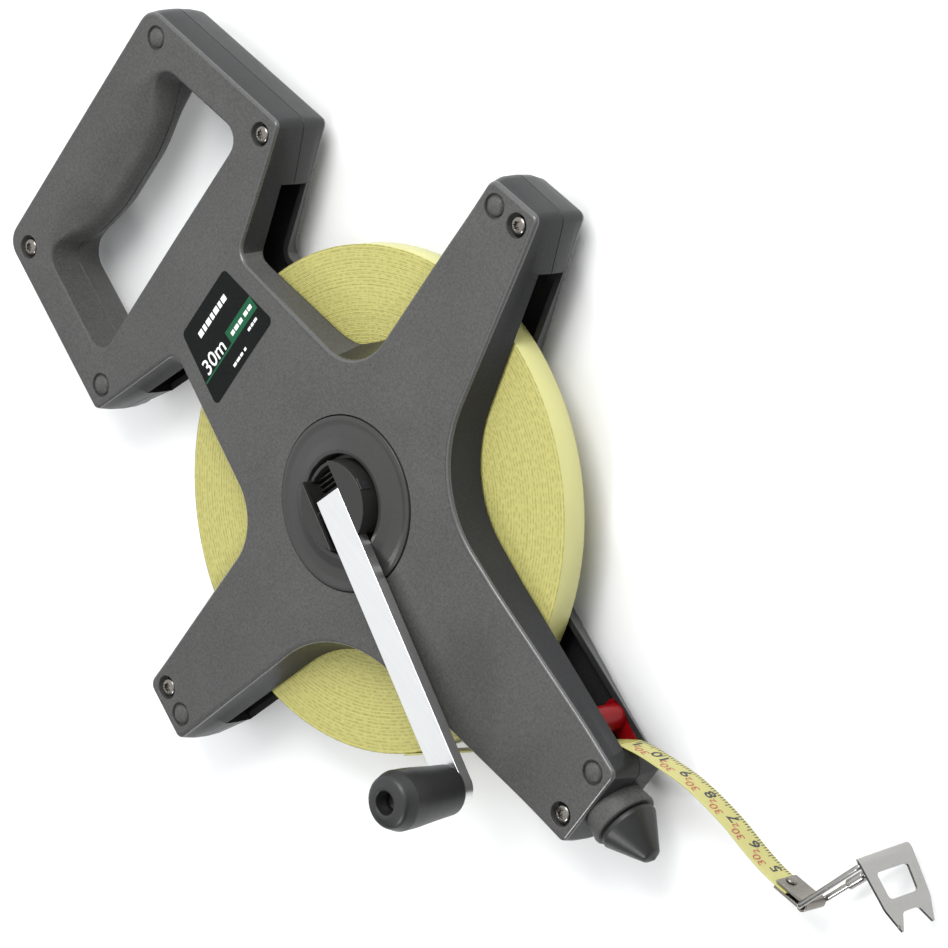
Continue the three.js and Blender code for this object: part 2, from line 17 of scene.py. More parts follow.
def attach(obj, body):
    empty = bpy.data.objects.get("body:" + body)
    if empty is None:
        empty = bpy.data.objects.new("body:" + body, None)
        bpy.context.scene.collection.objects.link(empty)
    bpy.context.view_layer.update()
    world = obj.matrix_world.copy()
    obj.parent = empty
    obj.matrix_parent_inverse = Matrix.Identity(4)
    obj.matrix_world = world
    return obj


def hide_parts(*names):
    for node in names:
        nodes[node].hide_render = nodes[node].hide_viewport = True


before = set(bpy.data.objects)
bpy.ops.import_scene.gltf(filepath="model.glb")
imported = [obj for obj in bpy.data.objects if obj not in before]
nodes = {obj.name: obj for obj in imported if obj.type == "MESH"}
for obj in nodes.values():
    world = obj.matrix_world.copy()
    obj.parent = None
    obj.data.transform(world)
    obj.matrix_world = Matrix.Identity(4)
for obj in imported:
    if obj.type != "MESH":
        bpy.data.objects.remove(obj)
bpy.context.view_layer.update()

MM = 0.001
SEAM = 18.5  # height of the seam over the floor
SHIFT = Matrix.Translation((0, 0, SEAM))
FLIP = Matrix.Rotation(math.pi, 4, "X")  # turns a half shell over to make the rear one
TAU = 2 * math.pi


# ---- camera ----
CAMERA_AT = (0.5994, 0.7803, 1.0274)
CAMERA_AHEAD = Vector((-0.4181, -0.5402, -0.7303)).normalized()
CAMERA_RIGHT = Vector((0.5525, 0.4869, -0.6766))


def make_camera():
    data = bpy.data.cameras.new("camera")
    data.sensor_width = 36
    data.lens = 170.9
    data.clip_start = 0.05
    data.clip_end = 50
    camera = bpy.data.objects.new("camera", data)
    bpy.context.scene.collection.objects.link(camera)
    up = CAMERA_RIGHT.cross(CAMERA_AHEAD).normalized()
    right = CAMERA_AHEAD.cross(up)
    turn = Matrix((right, up, -CAMERA_AHEAD)).transposed()
    camera.matrix_world = Matrix.Translation(CAMERA_AT) @ turn.to_4x4()
    bpy.context.scene.camera = camera


make_camera()


# ---- mesh helpers ----
def add_bevel(obj, width, sharper_than):
    """Rounds the object's edges that are sharper than an angle in degrees."""
    bevel = obj.modifiers.new("round_edges", "BEVEL")
    bevel.width = width * MM
    bevel.segments = 2
    bevel.limit_method = "ANGLE"
    bevel.angle_limit = math.radians(sharper_than)
    bevel.harden_normals = True


def put(
    name, verts, faces, materials, body, replaces=(), slot=None, matrix=None,
    angle=35, bevel=0, indices=None, weld=0,
):
    """A mesh of millimetre points, placed in the row frame, smooth but for edges sharper than angle."""
    place = SHIFT @ (matrix or Matrix.Identity(4))
    mesh = bpy.data.meshes.new(name)
    mesh.from_pydata([place @ Vector(v) * MM for v in verts], [], faces)
    mesh.validate()
    if weld:
        shape = bmesh.new()
        shape.from_mesh(mesh)
        bmesh.ops.remove_doubles(shape, verts=shape.verts, dist=weld * MM)
        shape.to_mesh(mesh)
        shape.free()
    for material in materials if isinstance(materials, (list, tuple)) else [materials]:
        mesh.materials.append(material)
    if indices is not None:
        mesh.polygons.foreach_set("material_index", indices)
    mesh.shade_smooth()
    mesh.set_sharp_from_angle(angle=math.radians(angle))
    mesh.update()
    obj = bpy.data.objects.new(name, mesh)
    bpy.context.scene.collection.objects.link(obj)
    if bevel:
        add_bevel(obj, bevel, 40)
    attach(obj, body)
    if replaces:
        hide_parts(*replaces)
    return obj


class Solid:
    """Points and faces gathered from several shapes."""

    def __init__(self):
        self.verts = []
        self.faces = []
        self.indices = []

    def add(self, verts, faces, index=0):
        base = len(self.verts)
        self.verts += [Vector(v) for v in verts]
        self.faces += [[base + i for i in face] for face in faces]
        self.indices += [index] * len(faces)
        return self

    def put(self, name, materials, body, *place, **more):
        return put(name, self.verts, self.faces, materials, body, *place, indices=self.indices, **more)


def arc(radius, turns, x=0, y=0):
    """Points of a circle round x, y at the given turns."""
    return [(x + radius * math.cos(t), y + radius * math.sin(t)) for t in turns]


def circle(radius, count, x=0, y=0):
    return arc(radius, [TAU * i / count for i in range(count)], x, y)


def net(rows, columns, ring=True, loop=False, flip=False):
    """Faces of points laid in rows; ring closes each row, and loop joins the last row to the first."""
    faces = []
    for k in range(rows if loop else rows - 1):
        low, high = k * columns, (k + 1) % rows * columns
        for i in range(columns if ring else columns - 1):
            j = (i + 1) % columns
            face = [low + i, low + j, high + j, high + i]
            faces.append([face[0], *face[:0:-1]] if flip else face)
    return faces


def turned(profile, segments=96, closed=False):
    """A round shape about Z from [radius, height] corners; a corner on the axis becomes one point."""
    verts = []
    rings = []
    for radius, z in profile:
        if radius < 1e-6:
            rings.append([len(verts)])
            verts.append((0, 0, z))
        else:
            rings.append(list(range(len(verts), len(verts) + segments)))
            verts += [(x, y, z) for x, y in circle(radius, segments)]
    faces = []
    pairs = list(zip(rings, rings[1:] + rings[:1])) if closed else list(zip(rings, rings[1:]))
    for low, high in pairs:
        for i in range(segments):
            j = (i + 1) % segments
            quad = [low[i % len(low)], low[j % len(low)], high[j % len(high)], high[i % len(high)]]
            face = list(dict.fromkeys(quad))
            if len(face) > 2:
                faces.append(face)
    return verts, faces


def rounded_profile(corners, closed=False, steps=4):
    """[radius, height, rounding] corners as a smooth [radius, height] profile."""
    loop = round_corners(corners, closed, steps)
    return [(p.x, p.y) for p in loop]


def round_corners(corners, closed=True, steps=6):
    """The outline of [x, y, radius] corners, each rounded by an arc of steps pieces."""
    at = [Vector(c[:2]) for c in corners]
    count = len(at)
    out = []
    for i, corner in enumerate(corners):
        radius = corner[2] if len(corner) > 2 else 0
        if not radius or (not closed and i in (0, count - 1)):
            out.append(at[i])
            continue
        a = (at[i - 1] - at[i]).normalized()
        b = (at[(i + 1) % count] - at[i]).normalized()
        half = math.acos(max(-1, min(1, a.dot(b)))) / 2
        reach = radius / math.tan(half)
        middle = at[i] + (a + b).normalized() * radius / math.sin(half)
        first = at[i] + a * reach - middle
        last = at[i] + b * reach - middle
        start = math.atan2(first.y, first.x)
        sweep = (math.atan2(last.y, last.x) - start + math.pi) % TAU - math.pi
        pieces = max(steps, round(abs(sweep) * radius / 2))
        for k in range(pieces + 1):
            turn = start + sweep * k / pieces
            out.append(middle + radius * Vector((math.cos(turn), math.sin(turn))))
    return out


def mirrored(side):
    """[x, y, radius] corners of the other side of y = 0, in the order that goes on round the outline."""
    return [(x, -y, *radius) for x, y, *radius in reversed(side)]


def slab(outline, low, high):
    """A flat outline raised from low to high."""
    n = len(outline)
    verts = [(p[0], p[1], low) for p in outline] + [(p[0], p[1], high) for p in outline]
    return verts, [list(range(n))[::-1], list(range(n, 2 * n)), *net(2, n)]


def tube(points, radius, sides=16, closed=False):
    """A round wire along points."""
    points = [Vector(p) for p in points]
    count = len(points)
    verts = []
    side = None
    for i, p in enumerate(points):
        before = points[i - 1] if closed or i else p
        after = points[(i + 1) % count] if closed or i + 1 < count else p
        along = (after - before).normalized()
        if side is None:
            side = along.orthogonal().normalized()
        side = (side - along * side.dot(along)).normalized()
        other = along.cross(side)
        for k in range(sides):
            turn = TAU * k / sides
            verts.append(p + radius * (side * math.cos(turn) + other * math.sin(turn)))
    faces = net(count, sides, loop=closed)
    if not closed:
        faces += [list(range(sides))[::-1], list(range((count - 1) * sides, count * sides))]
    return verts, faces


def inside(points, loop):
    """Which of the points lie inside the closed loop."""
    x, y = points[:, 0][:, None], points[:, 1][:, None]
    a = np.array([(p[0], p[1]) for p in loop])
    b = np.roll(a, -1, axis=0)
    spans = (a[:, 1] > y) != (b[:, 1] > y)
    rise = np.where(b[:, 1] == a[:, 1], 1e-9, b[:, 1] - a[:, 1])
    crossing = a[:, 0] + (y - a[:, 1]) * (b[:, 0] - a[:, 0]) / rise
    return (spans & (x < crossing)).sum(axis=1) % 2 == 1


def fill(outer, holes, spacing, clear):
    """Triangles that fill outer but not the holes, with a grid of points inside at the given spacing.
    Returns the points; the loops' own come first, in order."""

    def within(spots):
        keep = inside(spots, outer)
        for hole in holes:
            keep &= ~inside(spots, hole)
        return keep

    loops = [outer, *holes]
    flat = [Vector((p[0], p[1])) for loop in loops for p in loop]
    edges = []
    start = 0
    for loop in loops:
        n = len(loop)
        edges += [(start + i, start + (i + 1) % n) for i in range(n)]
        start += n
    border = np.array([(p.x, p.y) for p in flat])
    low, high = border.min(axis=0), border.max(axis=0)
    xs = np.arange(low[0] + spacing / 2, high[0], spacing)
    ys = np.arange(low[1] + spacing / 2, high[1], spacing)
    grid = np.array([(x + (j % 2) * spacing / 2, y) for j, y in enumerate(ys) for x in xs])
    grid = grid[within(grid)]
    gaps = np.sqrt(((grid[:, None, :] - border[None, :, :]) ** 2).sum(axis=2)).min(axis=1)
    grid = grid[gaps > clear]
    points = flat + [Vector(p) for p in grid]
    verts, _, faces, *_ = delaunay_2d_cdt(points, edges, [], 0, 1e-7)
    if len(verts) != len(points):
        raise ValueError("the filled outline crosses itself")
    centres = np.array([sum((verts[i] for i in face), Vector((0, 0))) / 3 for face in faces])
    return verts, [list(face) for face, kept in zip(faces, within(centres)) if kept]


# ---- materials ----
class Nodes:
    """Short calls that build one material's node tree."""

    def __init__(self, name, color, roughness, metallic=0.0):
        self.material = bpy.data.materials.new(name)
        self.material.use_nodes = True
        self.tree = self.material.node_tree
        self.shader = self.tree.nodes["Principled BSDF"]
        self.shader.inputs["Base Color"].default_value = (*color, 1)
        self.shader.inputs["Roughness"].default_value = roughness
        self.shader.inputs["Metallic"].default_value = metallic
        self.material.diffuse_color = (*color, 1)
        self.where = self.add("ShaderNodeTexCoord").outputs["Object"]

    def add(self, kind, inputs=None, **settings):
        node = self.tree.nodes.new(kind)
        for key, value in settings.items():
            setattr(node, key, value)
        for key, value in (inputs or {}).items():
            if isinstance(value, bpy.types.NodeSocket):
                self.tree.links.new(value, node.inputs[key])
            else:
                node.inputs[key].default_value = value
        return node

    def math(self, operation, *values):
        node = self.add("ShaderNodeMath", dict(enumerate(values)), operation=operation)
        return node.outputs[0]

    def noise(self, scale, detail=3.0, where=None, roughness=0.5):
        inputs = {
            "Vector": where or self.where,
            "Scale": scale,
            "Detail": detail,
            "Roughness": roughness,
        }
        return self.add("ShaderNodeTexNoise", inputs).outputs[0]

    def stretched(self, scale):
        """Object coordinates scaled by axis, for brushed grain."""
        return self.add("ShaderNodeMapping", {"Vector": self.where, "Scale": scale}).outputs[0]

    def ramp(self, value, *stops):
        node = self.add("ShaderNodeValToRGB", {"Fac": value})
        elements = node.color_ramp.elements
        while len(elements) < len(stops):
            elements.new(0.5)
        for element, (position, color) in zip(elements, stops):
            element.position = position
            element.color = (*color, 1)
        return node.outputs[0]

    def mix(self, factor, a, b, blend_type="MIX"):
        node = self.add("ShaderNodeMix", data_type="RGBA", blend_type=blend_type)
        for socket, value in ((node.inputs[0], factor), (node.inputs[6], a), (node.inputs[7], b)):
            if isinstance(value, bpy.types.NodeSocket):
                self.tree.links.new(value, socket)
            else:
                socket.default_value = (*value, 1) if isinstance(value, tuple) else value
        return node.outputs[2]

    def span(self, value, low, high):
        """value, from 0 to 1, mapped to low to high."""
        return self.add("ShaderNodeMapRange", {0: value, 3: low, 4: high}).outputs[0]

    def into(self, socket, value):
        self.tree.links.new(value, self.shader.inputs[socket])
        return self

    def bump(self, height, strength, distance):
        inputs = {"Height": height, "Strength": strength, "Distance": distance}
        return self.add("ShaderNodeBump", inputs).outputs[0]


def grey(value):
    return (value, value, value)


def plastic(name, dark, light, roughness, grain, grain_scale, specular=0.5):
    """Moulded plastic: a fine spark-eroded grain, faint cloudiness and slightly uneven gloss."""
    n = Nodes(name, light, roughness)
    clouds = n.math("MULTIPLY", n.noise(38, 4), 0.5)
    fine = n.noise(grain_scale, 2, roughness=0.7)
    speckle = n.math("MULTIPLY_ADD", fine, 1.6, -0.55)
    n.into("Base Color", n.mix(n.math("ADD", clouds, speckle), dark, light))
    n.into("Roughness", n.span(n.noise(260, 3), roughness - 0.05, roughness + 0.07))
    n.into("Normal", n.bump(fine, grain, 0.00012))
    n.shader.inputs["Specular IOR Level"].default_value = specular
    return n.material


def metal(name, color, roughness, stretch, strength):
    """Metal with fine lines across one axis, and slightly uneven gloss."""
    n = Nodes(name, color, roughness, 1.0)
    lines = n.noise(1, 4, n.stretched(stretch))
    n.into("Base Color", n.mix(lines, tuple(0.86 * c for c in color), color))
    n.into("Roughness", n.span(n.noise(420, 3), roughness - 0.06, roughness + 0.08))
    n.into("Normal", n.bump(lines, strength, 0.00005))
    return n.material


def winding_faces():
    """Edges of the turns: fine rings of uneven tone, broken into short scales by the print on each turn."""
    n = Nodes("tape_turn_edges", (0.62, 0.58, 0.22), 0.55)
    parts = n.add("ShaderNodeSeparateXYZ", {0: n.where})
    x, y = parts.outputs[0], parts.outputs[1]
    radius = n.math("SQRT", n.math("ADD", n.math("MULTIPLY", x, x), n.math("MULTIPLY", y, y)))
    turn = n.math("ARCTAN2", y, x)
    rings = n.add("ShaderNodeCombineXYZ", {0: n.math("MULTIPLY", radius, 2100.0)}).outputs[0]
    tone = n.noise(1, 2, rings)
    wobble = n.math("MULTIPLY", n.noise(120, 1), 1.6)
    rows = n.math("ADD", n.math("MULTIPLY", radius, 5600.0), wobble)
    band = n.math("MULTIPLY_ADD", n.math("SINE", rows), 0.5, 0.5)
    arc = {0: n.math("MULTIPLY", radius, 900.0), 1: n.math("MULTIPLY", turn, 44.0)}
    scales = n.noise(1, 2, n.add("ShaderNodeCombineXYZ", arc).outputs[0])
    dark = n.math("MULTIPLY", band, n.ramp(scales, (0.38, (0, 0, 0)), (0.6, (1, 1, 1))))
    base = n.ramp(tone, (0.3, (0.38, 0.355, 0.1)), (0.7, (0.475, 0.445, 0.15)))
    n.into("Base Color", n.mix(n.math("MULTIPLY", dark, 0.75), base, (0.25, 0.23, 0.058)))
    n.into("Roughness", n.span(tone, 0.45, 0.65))
    n.into("Normal", n.bump(tone, 0.5, 0.0002))
    return n.material


def tape_coating(name, color, roughness=0.38):
    """The tape's yellow enamel, with a faint orange-peel surface."""
    n = Nodes(name, color, roughness)
    n.into("Base Color", n.mix(n.noise(90, 3), tuple(0.92 * c for c in color), color))
    n.into("Roughness", n.span(n.noise(500, 2), roughness - 0.06, roughness + 0.08))
    n.into("Normal", n.bump(n.noise(1500, 2), 0.06, 0.00005))
    return n.material


def printed(name, color, roughness=0.45, specular=0.5):
    """Ink, slightly uneven in strength."""
    n = Nodes(name, color, roughness)
    n.shader.inputs["Specular IOR Level"].default_value = specular
    lighter = tuple(min(1.0, 1.25 * c + 0.01) for c in color)
    n.into("Base Color", n.mix(n.noise(1800, 2), color, lighter))
    return n.material


FRAME_PLASTIC = plastic(
    "frame_plastic", (0.0459, 0.045, 0.0433), (0.0952, 0.0944, 0.0909), 0.46, 0.9, 1300, 0.24
)
EDGE_PLASTIC = plastic(
    "frame_plastic_edge", (0.055, 0.055, 0.053), (0.085, 0.085, 0.082), 0.27, 0.15, 1300, 0.7
)
# Side walls: a smoother, glossier plastic. Its darker colour is painted shade on the walls below the rounded
# edge.
SHADED_SIDE_PLASTIC = plastic(
    "frame_plastic_smooth_shaded", (0.018, 0.018, 0.0185), (0.027, 0.027, 0.028), 0.34, 0.3, 1300, 0.24
)
# Inside of the shell: a dull plastic. Its darker colour is painted shade for the shade inside the hollow
# shell.
SHADED_INNER_PLASTIC = plastic("frame_plastic_inside_shaded", grey(0.016), grey(0.024), 0.6, 0.5, 1300, 0.08)
COLLAR_PLASTIC = plastic(
    "collar_plastic", (0.0323, 0.0314, 0.0298), (0.0425, 0.0416, 0.0399), 0.3, 0.2, 1300, 0.35
)
BLACK_PLASTIC = plastic("black_plastic", grey(0.012), grey(0.02), 0.38, 0.15, 1800)
HUB_PLASTIC = plastic("hub_plastic", (0.0187, 0.0179, 0.017), (0.0289, 0.0281, 0.0263), 0.36, 0.3, 1600, 0.35)
RUBBERY = plastic("black_rubbery_plastic", grey(0.0119), grey(0.0187), 0.42, 0.3, 1500)
RED_PLASTIC = plastic("red_plastic", (0.162, 0.0017, 0.0034), (0.204, 0.0026, 0.0051), 0.3, 0.08, 1200, 0.18)
NYLON = plastic("nylon", (0.578, 0.561, 0.51), (0.637, 0.62, 0.578), 0.5, 0.1, 2600)
BAR = metal("bare_bar", (0.807, 0.807, 0.803), 0.3, (30, 1500, 1500), 0.05)
STEEL = metal("plated_steel", (0.238, 0.221, 0.2), 0.25, (900, 900, 900), 0.05)
NICKEL = metal("nickel_plate", (0.365, 0.357, 0.344), 0.24, (500, 500, 2600), 0.1)
TURN_EDGES = winding_faces()
RIM_COAT = tape_coating("tape_back", (0.544, 0.527, 0.212))
TAPE_COAT = tape_coating("tape_face", (0.451, 0.425, 0.145))
BLACK_INK = printed("black_ink", (0.015, 0.015, 0.02))
RED_INK = printed("red_ink", (0.289, 0.051, 0.0255))
WHITE_INK = printed("white_ink", (0.68, 0.68, 0.663))
GREEN_INK = printed("green_ink", (0.0051, 0.0723, 0.0298), 0.5, 0.12)
LABEL_FILM = printed("label_film", (0.004, 0.0045, 0.0045), 0.5, 0.04)


# ---- free tape: the cord, which comes before the rest ----
TAPE_WIDTH = 10
TAPE_THICKNESS = 0.6
PRINT_OFF = TAPE_THICKNESS / 2 + 0.03  # how far the print stands off the tape's middle
MARK_FIVE = 61.0  # where along the blade the five-centimetre mark falls; marks count down to the hook
BLADE = [
    (119.6, 19.3, 0),
    (125.5, 22.3, -0.15),
    (134.6, 25.4, -0.87),
    (142.7, 27.5, -1.92),
    (152.5, 28.4, -3.35),
    (161.4, 28.4, -4.67),
    (169.5, 27.9, -5.65),
    (177.2, 28.0, -6.29),
    (184.7, 29.2, -6.5),
    (188.2, 30.1, -6.5),
]
LEAD = [
    (62.6, -50.3, 0),
    (79.4, -29.6, 0),
    (96.1, -8.9, 0),
    (108.6, 6.6, 0),
    (113.4, 12.6, 0),
    (119.25, 18.95, 0),
]


def smooth_path(points, step):
    """Points every step along a centripetal Catmull-Rom curve."""
    p = [Vector(q) for q in points]
    p = [2 * p[0] - p[1], *p, 2 * p[-1] - p[-2]]
    fine = []
    for a, b, c, d in zip(p, p[1:], p[2:], p[3:]):
        t = [0.0]
        for u, v in ((a, b), (b, c), (c, d)):
            t.append(t[-1] + math.sqrt((v - u).length))
        for k in range(40):
            s = t[1] + (t[2] - t[1]) * k / 40
            spans = enumerate(((a, b), (b, c), (c, d)))
            one = [u.lerp(v, (s - t[i]) / (t[i + 1] - t[i])) for i, (u, v) in spans]
            two = [one[i].lerp(one[i + 1], (s - t[i]) / (t[i + 2] - t[i])) for i in range(2)]
            fine.append(two[0].lerp(two[1], (s - t[1]) / (t[2] - t[1])))
    fine.append(p[-2])
    length = [0.0]
    for a, b in zip(fine, fine[1:]):
        length.append(length[-1] + (b - a).length)
    count = round(length[-1] / step)
    marks = np.linspace(0, length[-1], count + 1)
    even = [np.interp(marks, length, [q[i] for q in fine]) for i in range(3)]
    return [Vector(q) for q in zip(*even)], length[-1]


class Strip:
    """The tape on edge along a path: maps (distance along, height across, distance off its face)."""

    def __init__(self, points):
        self.points, self.length = smooth_path(points, 1.0)
        self.marks = np.linspace(0, self.length, len(self.points))

    def point(self, along):
        return Vector([np.interp(along, self.marks, [p[i] for p in self.points]) for i in range(3)])

    def at(self, along, across, off=0.0):
        run = self.point(along + 1) - self.point(along - 1)
        side = Vector((-run.y, run.x, 0)).normalized()
        return self.point(along) + side * off + Vector((0, 0, across))

    def band(self, start, end, low, high, off):
        """A thin raised quad strip on the face, for one printed bar."""
        count = max(1, math.ceil((end - start) / 1.5))
        at = [start + (end - start) * i / count for i in range(count + 1)]
        verts = [self.at(s, z, off) for s in at for z in (low, high)]
        faces = [[2 * i + 2, 2 * i, 2 * i + 1, 2 * i + 3] for i in range(count)]
        return verts, faces


def flat_text(words, height, bold=0.0):
    """Points and faces of words in the built-in font, height tall, centred on the origin."""
    curve = bpy.data.curves.new("words", "FONT")
    curve.body = words
    curve.size = height / 0.72
    curve.offset = bold
    curve.resolution_u = 3
    obj = bpy.data.objects.new("words", curve)
    bpy.context.scene.collection.objects.link(obj)
    mesh = obj.to_mesh()
    verts = [v.co.copy() for v in mesh.vertices]
    faces = [list(f.vertices) for f in mesh.polygons]
    obj.to_mesh_clear()
    bpy.data.objects.remove(obj)
    bpy.data.curves.remove(curve)
    low = Vector([min(v[i] for v in verts) for i in range(2)])
    high = Vector([max(v[i] for v in verts) for i in range(2)])
    middle = (low + high) / 2
    return [(v.x - middle.x, v.y - middle.y) for v in verts], faces


def strip_body(strip, pieces):
    """The tape's body as a tube of flat section with trimmed edges."""
    half, t = TAPE_WIDTH / 2, TAPE_THICKNESS / 2
    trim = 0.12
    section = [(half - trim, t), (half, t - trim), (half, trim - t), (half - trim, -t)]
    section += [(trim - half, -t), (-half, trim - t), (-half, t - trim), (trim - half, t)]
    verts = [strip.at(s, z, o) for s in np.linspace(0, strip.length, pieces + 1) for z, o in section]
    n = len(section)
    last = pieces * n
    return verts, [*net(pieces + 1, n), list(range(n))[::-1], list(range(last, last + n))]


def place_words(solid, strip, words, height, along, across, index, bold):
    """Words on the tape's outer face: they read towards the reel, with their tops to the crank's side."""
    points, faces = flat_text(words, height, bold)
    verts = [strip.at(along - x, across + y, PRINT_OFF) for x, y in points]
    solid.add(verts, faces, index=index)


def make_blade():
    strip = Strip(BLADE)
    solid = Solid().add(*strip_body(strip, 71))
    edge = -TAPE_WIDTH / 2
    for step in range(-6, 66):
        s = MARK_FIVE - step
        if not 0.4 < s < strip.length - 3.2:
            continue
        long = 3.6 if step % 10 == 0 else 2.6 if step % 5 == 0 else 1.7
        solid.add(*strip.band(s - 0.16, s + 0.16, edge + 0.15, edge + long, PRINT_OFF), index=1)
    for centimetre in range(5, 12):
        s = MARK_FIVE - 10 * (centimetre - 5)
        two_digits = 0.4 if centimetre > 9 else 0
        place_words(solid, strip, str(centimetre), 4.2, s - two_digits, -0.9, 1, 0.1)
        place_words(solid, strip, "30", 3.2, s - 4.6, 2.3, 2, 0.035)
        place_words(solid, strip, "2", 2.6, s - 7.6, 0.6, 2, 0.03)
    inks = [TAPE_COAT, BLACK_INK, RED_INK]
    blade = solid.put("tape_blade_printed", inks, "frame", ["tape_blade"], "tape_coat")
    return blade, strip


blade, blade_strip = make_blade()


# ---- half shells ----
WALL = 2.4
LIP = 5.5  # half height of the open stretch between the shells
ARM_HALF = 30  # the two plain arms lie this near x = 0
ARM_SLOT = 101.5  # where the slots of the two plain arms end
HANDLE_SLOT = -99  # where the slots beside the handle's arm end
MOUTH_SLOT = 121.5  # where the mouth's slots end
SLOT_REACH = 46  # how far to each side the slots of the handle's and the mouth's arm reach
WEB = 1.8  # thickness of the walls that close the slots
PLAIN_LEAN = 0.6  # how far a side wall leans out by the slot's height
SLOT_LEAN = 3.15  # the same beside a slot
SEAM_HALF = 0.05  # half the gap between the two shells where they meet
HUB_Z, ARM_Z, END_Z = 16.7, 11.3, 10.7
HUB_R, ARM_R, FACE_R = 44, 112, 190
COLLAR_R = 27.5
BORE_R = 15.8  # the collar's bore
PLUG_R = 24.1  # the collar's and the cap's spigots, which sit in the shells
AXLE_HOLE_R = 4.3
SIDE = [
    (127.5, 15.8, 2.5),
    (60, 24.6, 60),
    (20.5, 31.2, 42),
    (-4.6, 118.6, 2.5),
    (-26.4, 114.6, 3.5),
    (-21.6, 33.2, 18),
    (-87.2, 21.9, 6),
    (-102.6, 64.8, 2.5),
    (-170.5, 52.6, 7),
]
WINDOW_SIDE = [(-112.6, 49.8, 6), (-154.2, 42.2, 7), (-147.8, 12, 40)]
SCREWS = {
    "grip_outer": (-161.2, -47),
    "grip_inner": (-106.3, 56.5),
    "upper_arm": (-9.3, 111),
    "lower_arm": (-19.5, -109.2),
    "mouth": (121, -9.6),
}
SHELL_PLASTICS = [FRAME_PLASTIC, SHADED_SIDE_PLASTIC, SHADED_INNER_PLASTIC, EDGE_PLASTIC]
FACE, WALLS, INSIDE, EDGES = range(4)  # the same, by their place in the list
RECESS_R = 4.1
SCREW_DEPTH = 2.1  # how far a screw's head sits below the face


def face_height(x, y):
    """Height of the face over the seam: level round the hub, then a shallow cone with soft bends."""
    r = math.hypot(x, y)
    slope_in = (ARM_Z - HUB_Z) / (ARM_R - HUB_R)
    slope_out = (END_Z - ARM_Z) / (FACE_R - ARM_R)

    def past(distance, soft):
        """distance where it is above 0 and 0 below, with a soft change within soft of 0."""
        if distance <= -soft:
            return 0.0
        return distance if distance >= soft else (distance + soft) ** 2 / (4 * soft)

    return HUB_Z + slope_in * past(r - HUB_R, 6) + (slope_out - slope_in) * past(r - ARM_R, 8)


def is_open(p):
    """Whether the outline has a slot at this point."""
    along_arms = abs(p.x) < ARM_HALF and abs(p.y) < ARM_SLOT
    return along_arms or (HANDLE_SLOT < p.x < MOUTH_SLOT and abs(p.y) < SLOT_REACH)


def resampled(loop, longest):
    """The loop with no piece longer than longest, and two close points where the side wall's slot begins."""
    out = []
    for a, b in zip(loop, loop[1:] + loop[:1]):
        pieces = max(1, math.ceil((b - a).length / longest))
        for k in range(pieces):
            p, q = a.lerp(b, k / pieces), a.lerp(b, (k + 1) / pieces)
            out.append(p)
            if is_open(p) != is_open(q):
                low, high = 0.0, 1.0
                for _ in range(24):
                    mid = (low + high) / 2
                    low, high = (mid, high) if is_open(p.lerp(q, mid)) == is_open(p) else (low, mid)
                reach = 0.01 / (q - p).length
                out += [p.lerp(q, max(0.001, low - reach)), p.lerp(q, min(0.999, high + reach))]
    return out


def turned_area(loop):
    """Twice the loop's area, above 0 where it runs counterclockwise."""
    return sum(a.x * b.y - b.x * a.y for a, b in zip(loop, loop[1:] + loop[:1]))


def outward(loop, material_inside):
    """Normals of a loop's points, pointing out of the material; close neighbours are passed over."""
    sign = 1 if (turned_area(loop) > 0) == material_inside else -1
    count = len(loop)
    normals = []
    for i, p in enumerate(loop):
        back = next(k for k in range(1, 9) if (p - loop[i - k]).length > 0.3)
        ahead = next(k for k in range(1, 9) if (p - loop[(i + k) % count]).length > 0.3)
        a = (p - loop[i - back]).normalized()
        b = (loop[(i + ahead) % count] - p).normalized()
        run = (a + b).normalized()
        normals.append(Vector((run.y, -run.x)) * sign / max(0.6, run.dot(a)))
    return normals


def eased(value, low, high):
    """0 below low, 1 above high, smooth between."""
    t = max(0.0, min(1.0, (value - low) / (high - low)))
    return t * t * (3 - 2 * t)


def grip_share(p):
    """1 along the middle of the grip's window side, falling to 0 at the window's corners."""
    return eased(-p.x, 138, 149) * (1 - eased(abs(p.y), 22, 41))


def open_lean(p):
    """The lean beside a slot: nearly upright along the handle's waist, flared in the corner by the arm."""
    if p.x > -20 or p.x < -90:
        return SLOT_LEAN
    upright = eased(p.x, -90, -80) * (1 - eased(p.x, -44, -29))
    flared = eased(p.x, -36, -26) * (1 - eased(abs(p.y), 38, 56))
    return SLOT_LEAN + upright * (0.9 - SLOT_LEAN) + flared * 1.6


def lean_at_lip(p, window):
    """How far the side wall leans out by the slot's height: full beside a slot, nearly none elsewhere."""
    if window:
        return PLAIN_LEAN
    if is_open(p):
        return open_lean(p)
    closeness = 0.0
    if abs(p.x) < ARM_HALF and abs(p.y) >= ARM_SLOT:
        closeness = (118 - abs(p.y)) / (118 - ARM_SLOT)
    elif -103 < p.x < -85:
        closeness = (64 - abs(p.y)) / (64 - SLOT_REACH)
    elif p.x >= MOUTH_SLOT:
        closeness = (127 - p.x) / (127 - MOUTH_SLOT)
    return PLAIN_LEAN + (SLOT_LEAN - PLAIN_LEAN) * max(0.0, min(1.0, closeness))


ROUNDING = np.radians((0, 18, 36, 54, 72, 90))
GRIP_ROLL = np.radians((0, 11, 22, 33, 44, 55, 66, 76, 84, 89))


def rounded_edge(h, edge):
    return [(-edge * (1 - math.sin(t)), h - edge * (1 - math.cos(t))) for t in ROUNDING]


def plain_rows(h, edge, lean, drop):
    """Side wall that meets its other half at the seam, with a rounded upper edge."""
    foot = h - edge
    low = min(LIP, 0.62 * foot)
    seam = lean + drop
    rows = rounded_edge(h, edge)
    rows += [(lean * 0.5, (foot + low) / 2), (lean, low), (seam, SEAM_HALF + 0.15), (seam - 0.15, SEAM_HALF)]
    return rows + [(seam - WALL + 0.3, SEAM_HALF), (seam - WALL, SEAM_HALF + 0.5), (-WALL, h - WALL)]


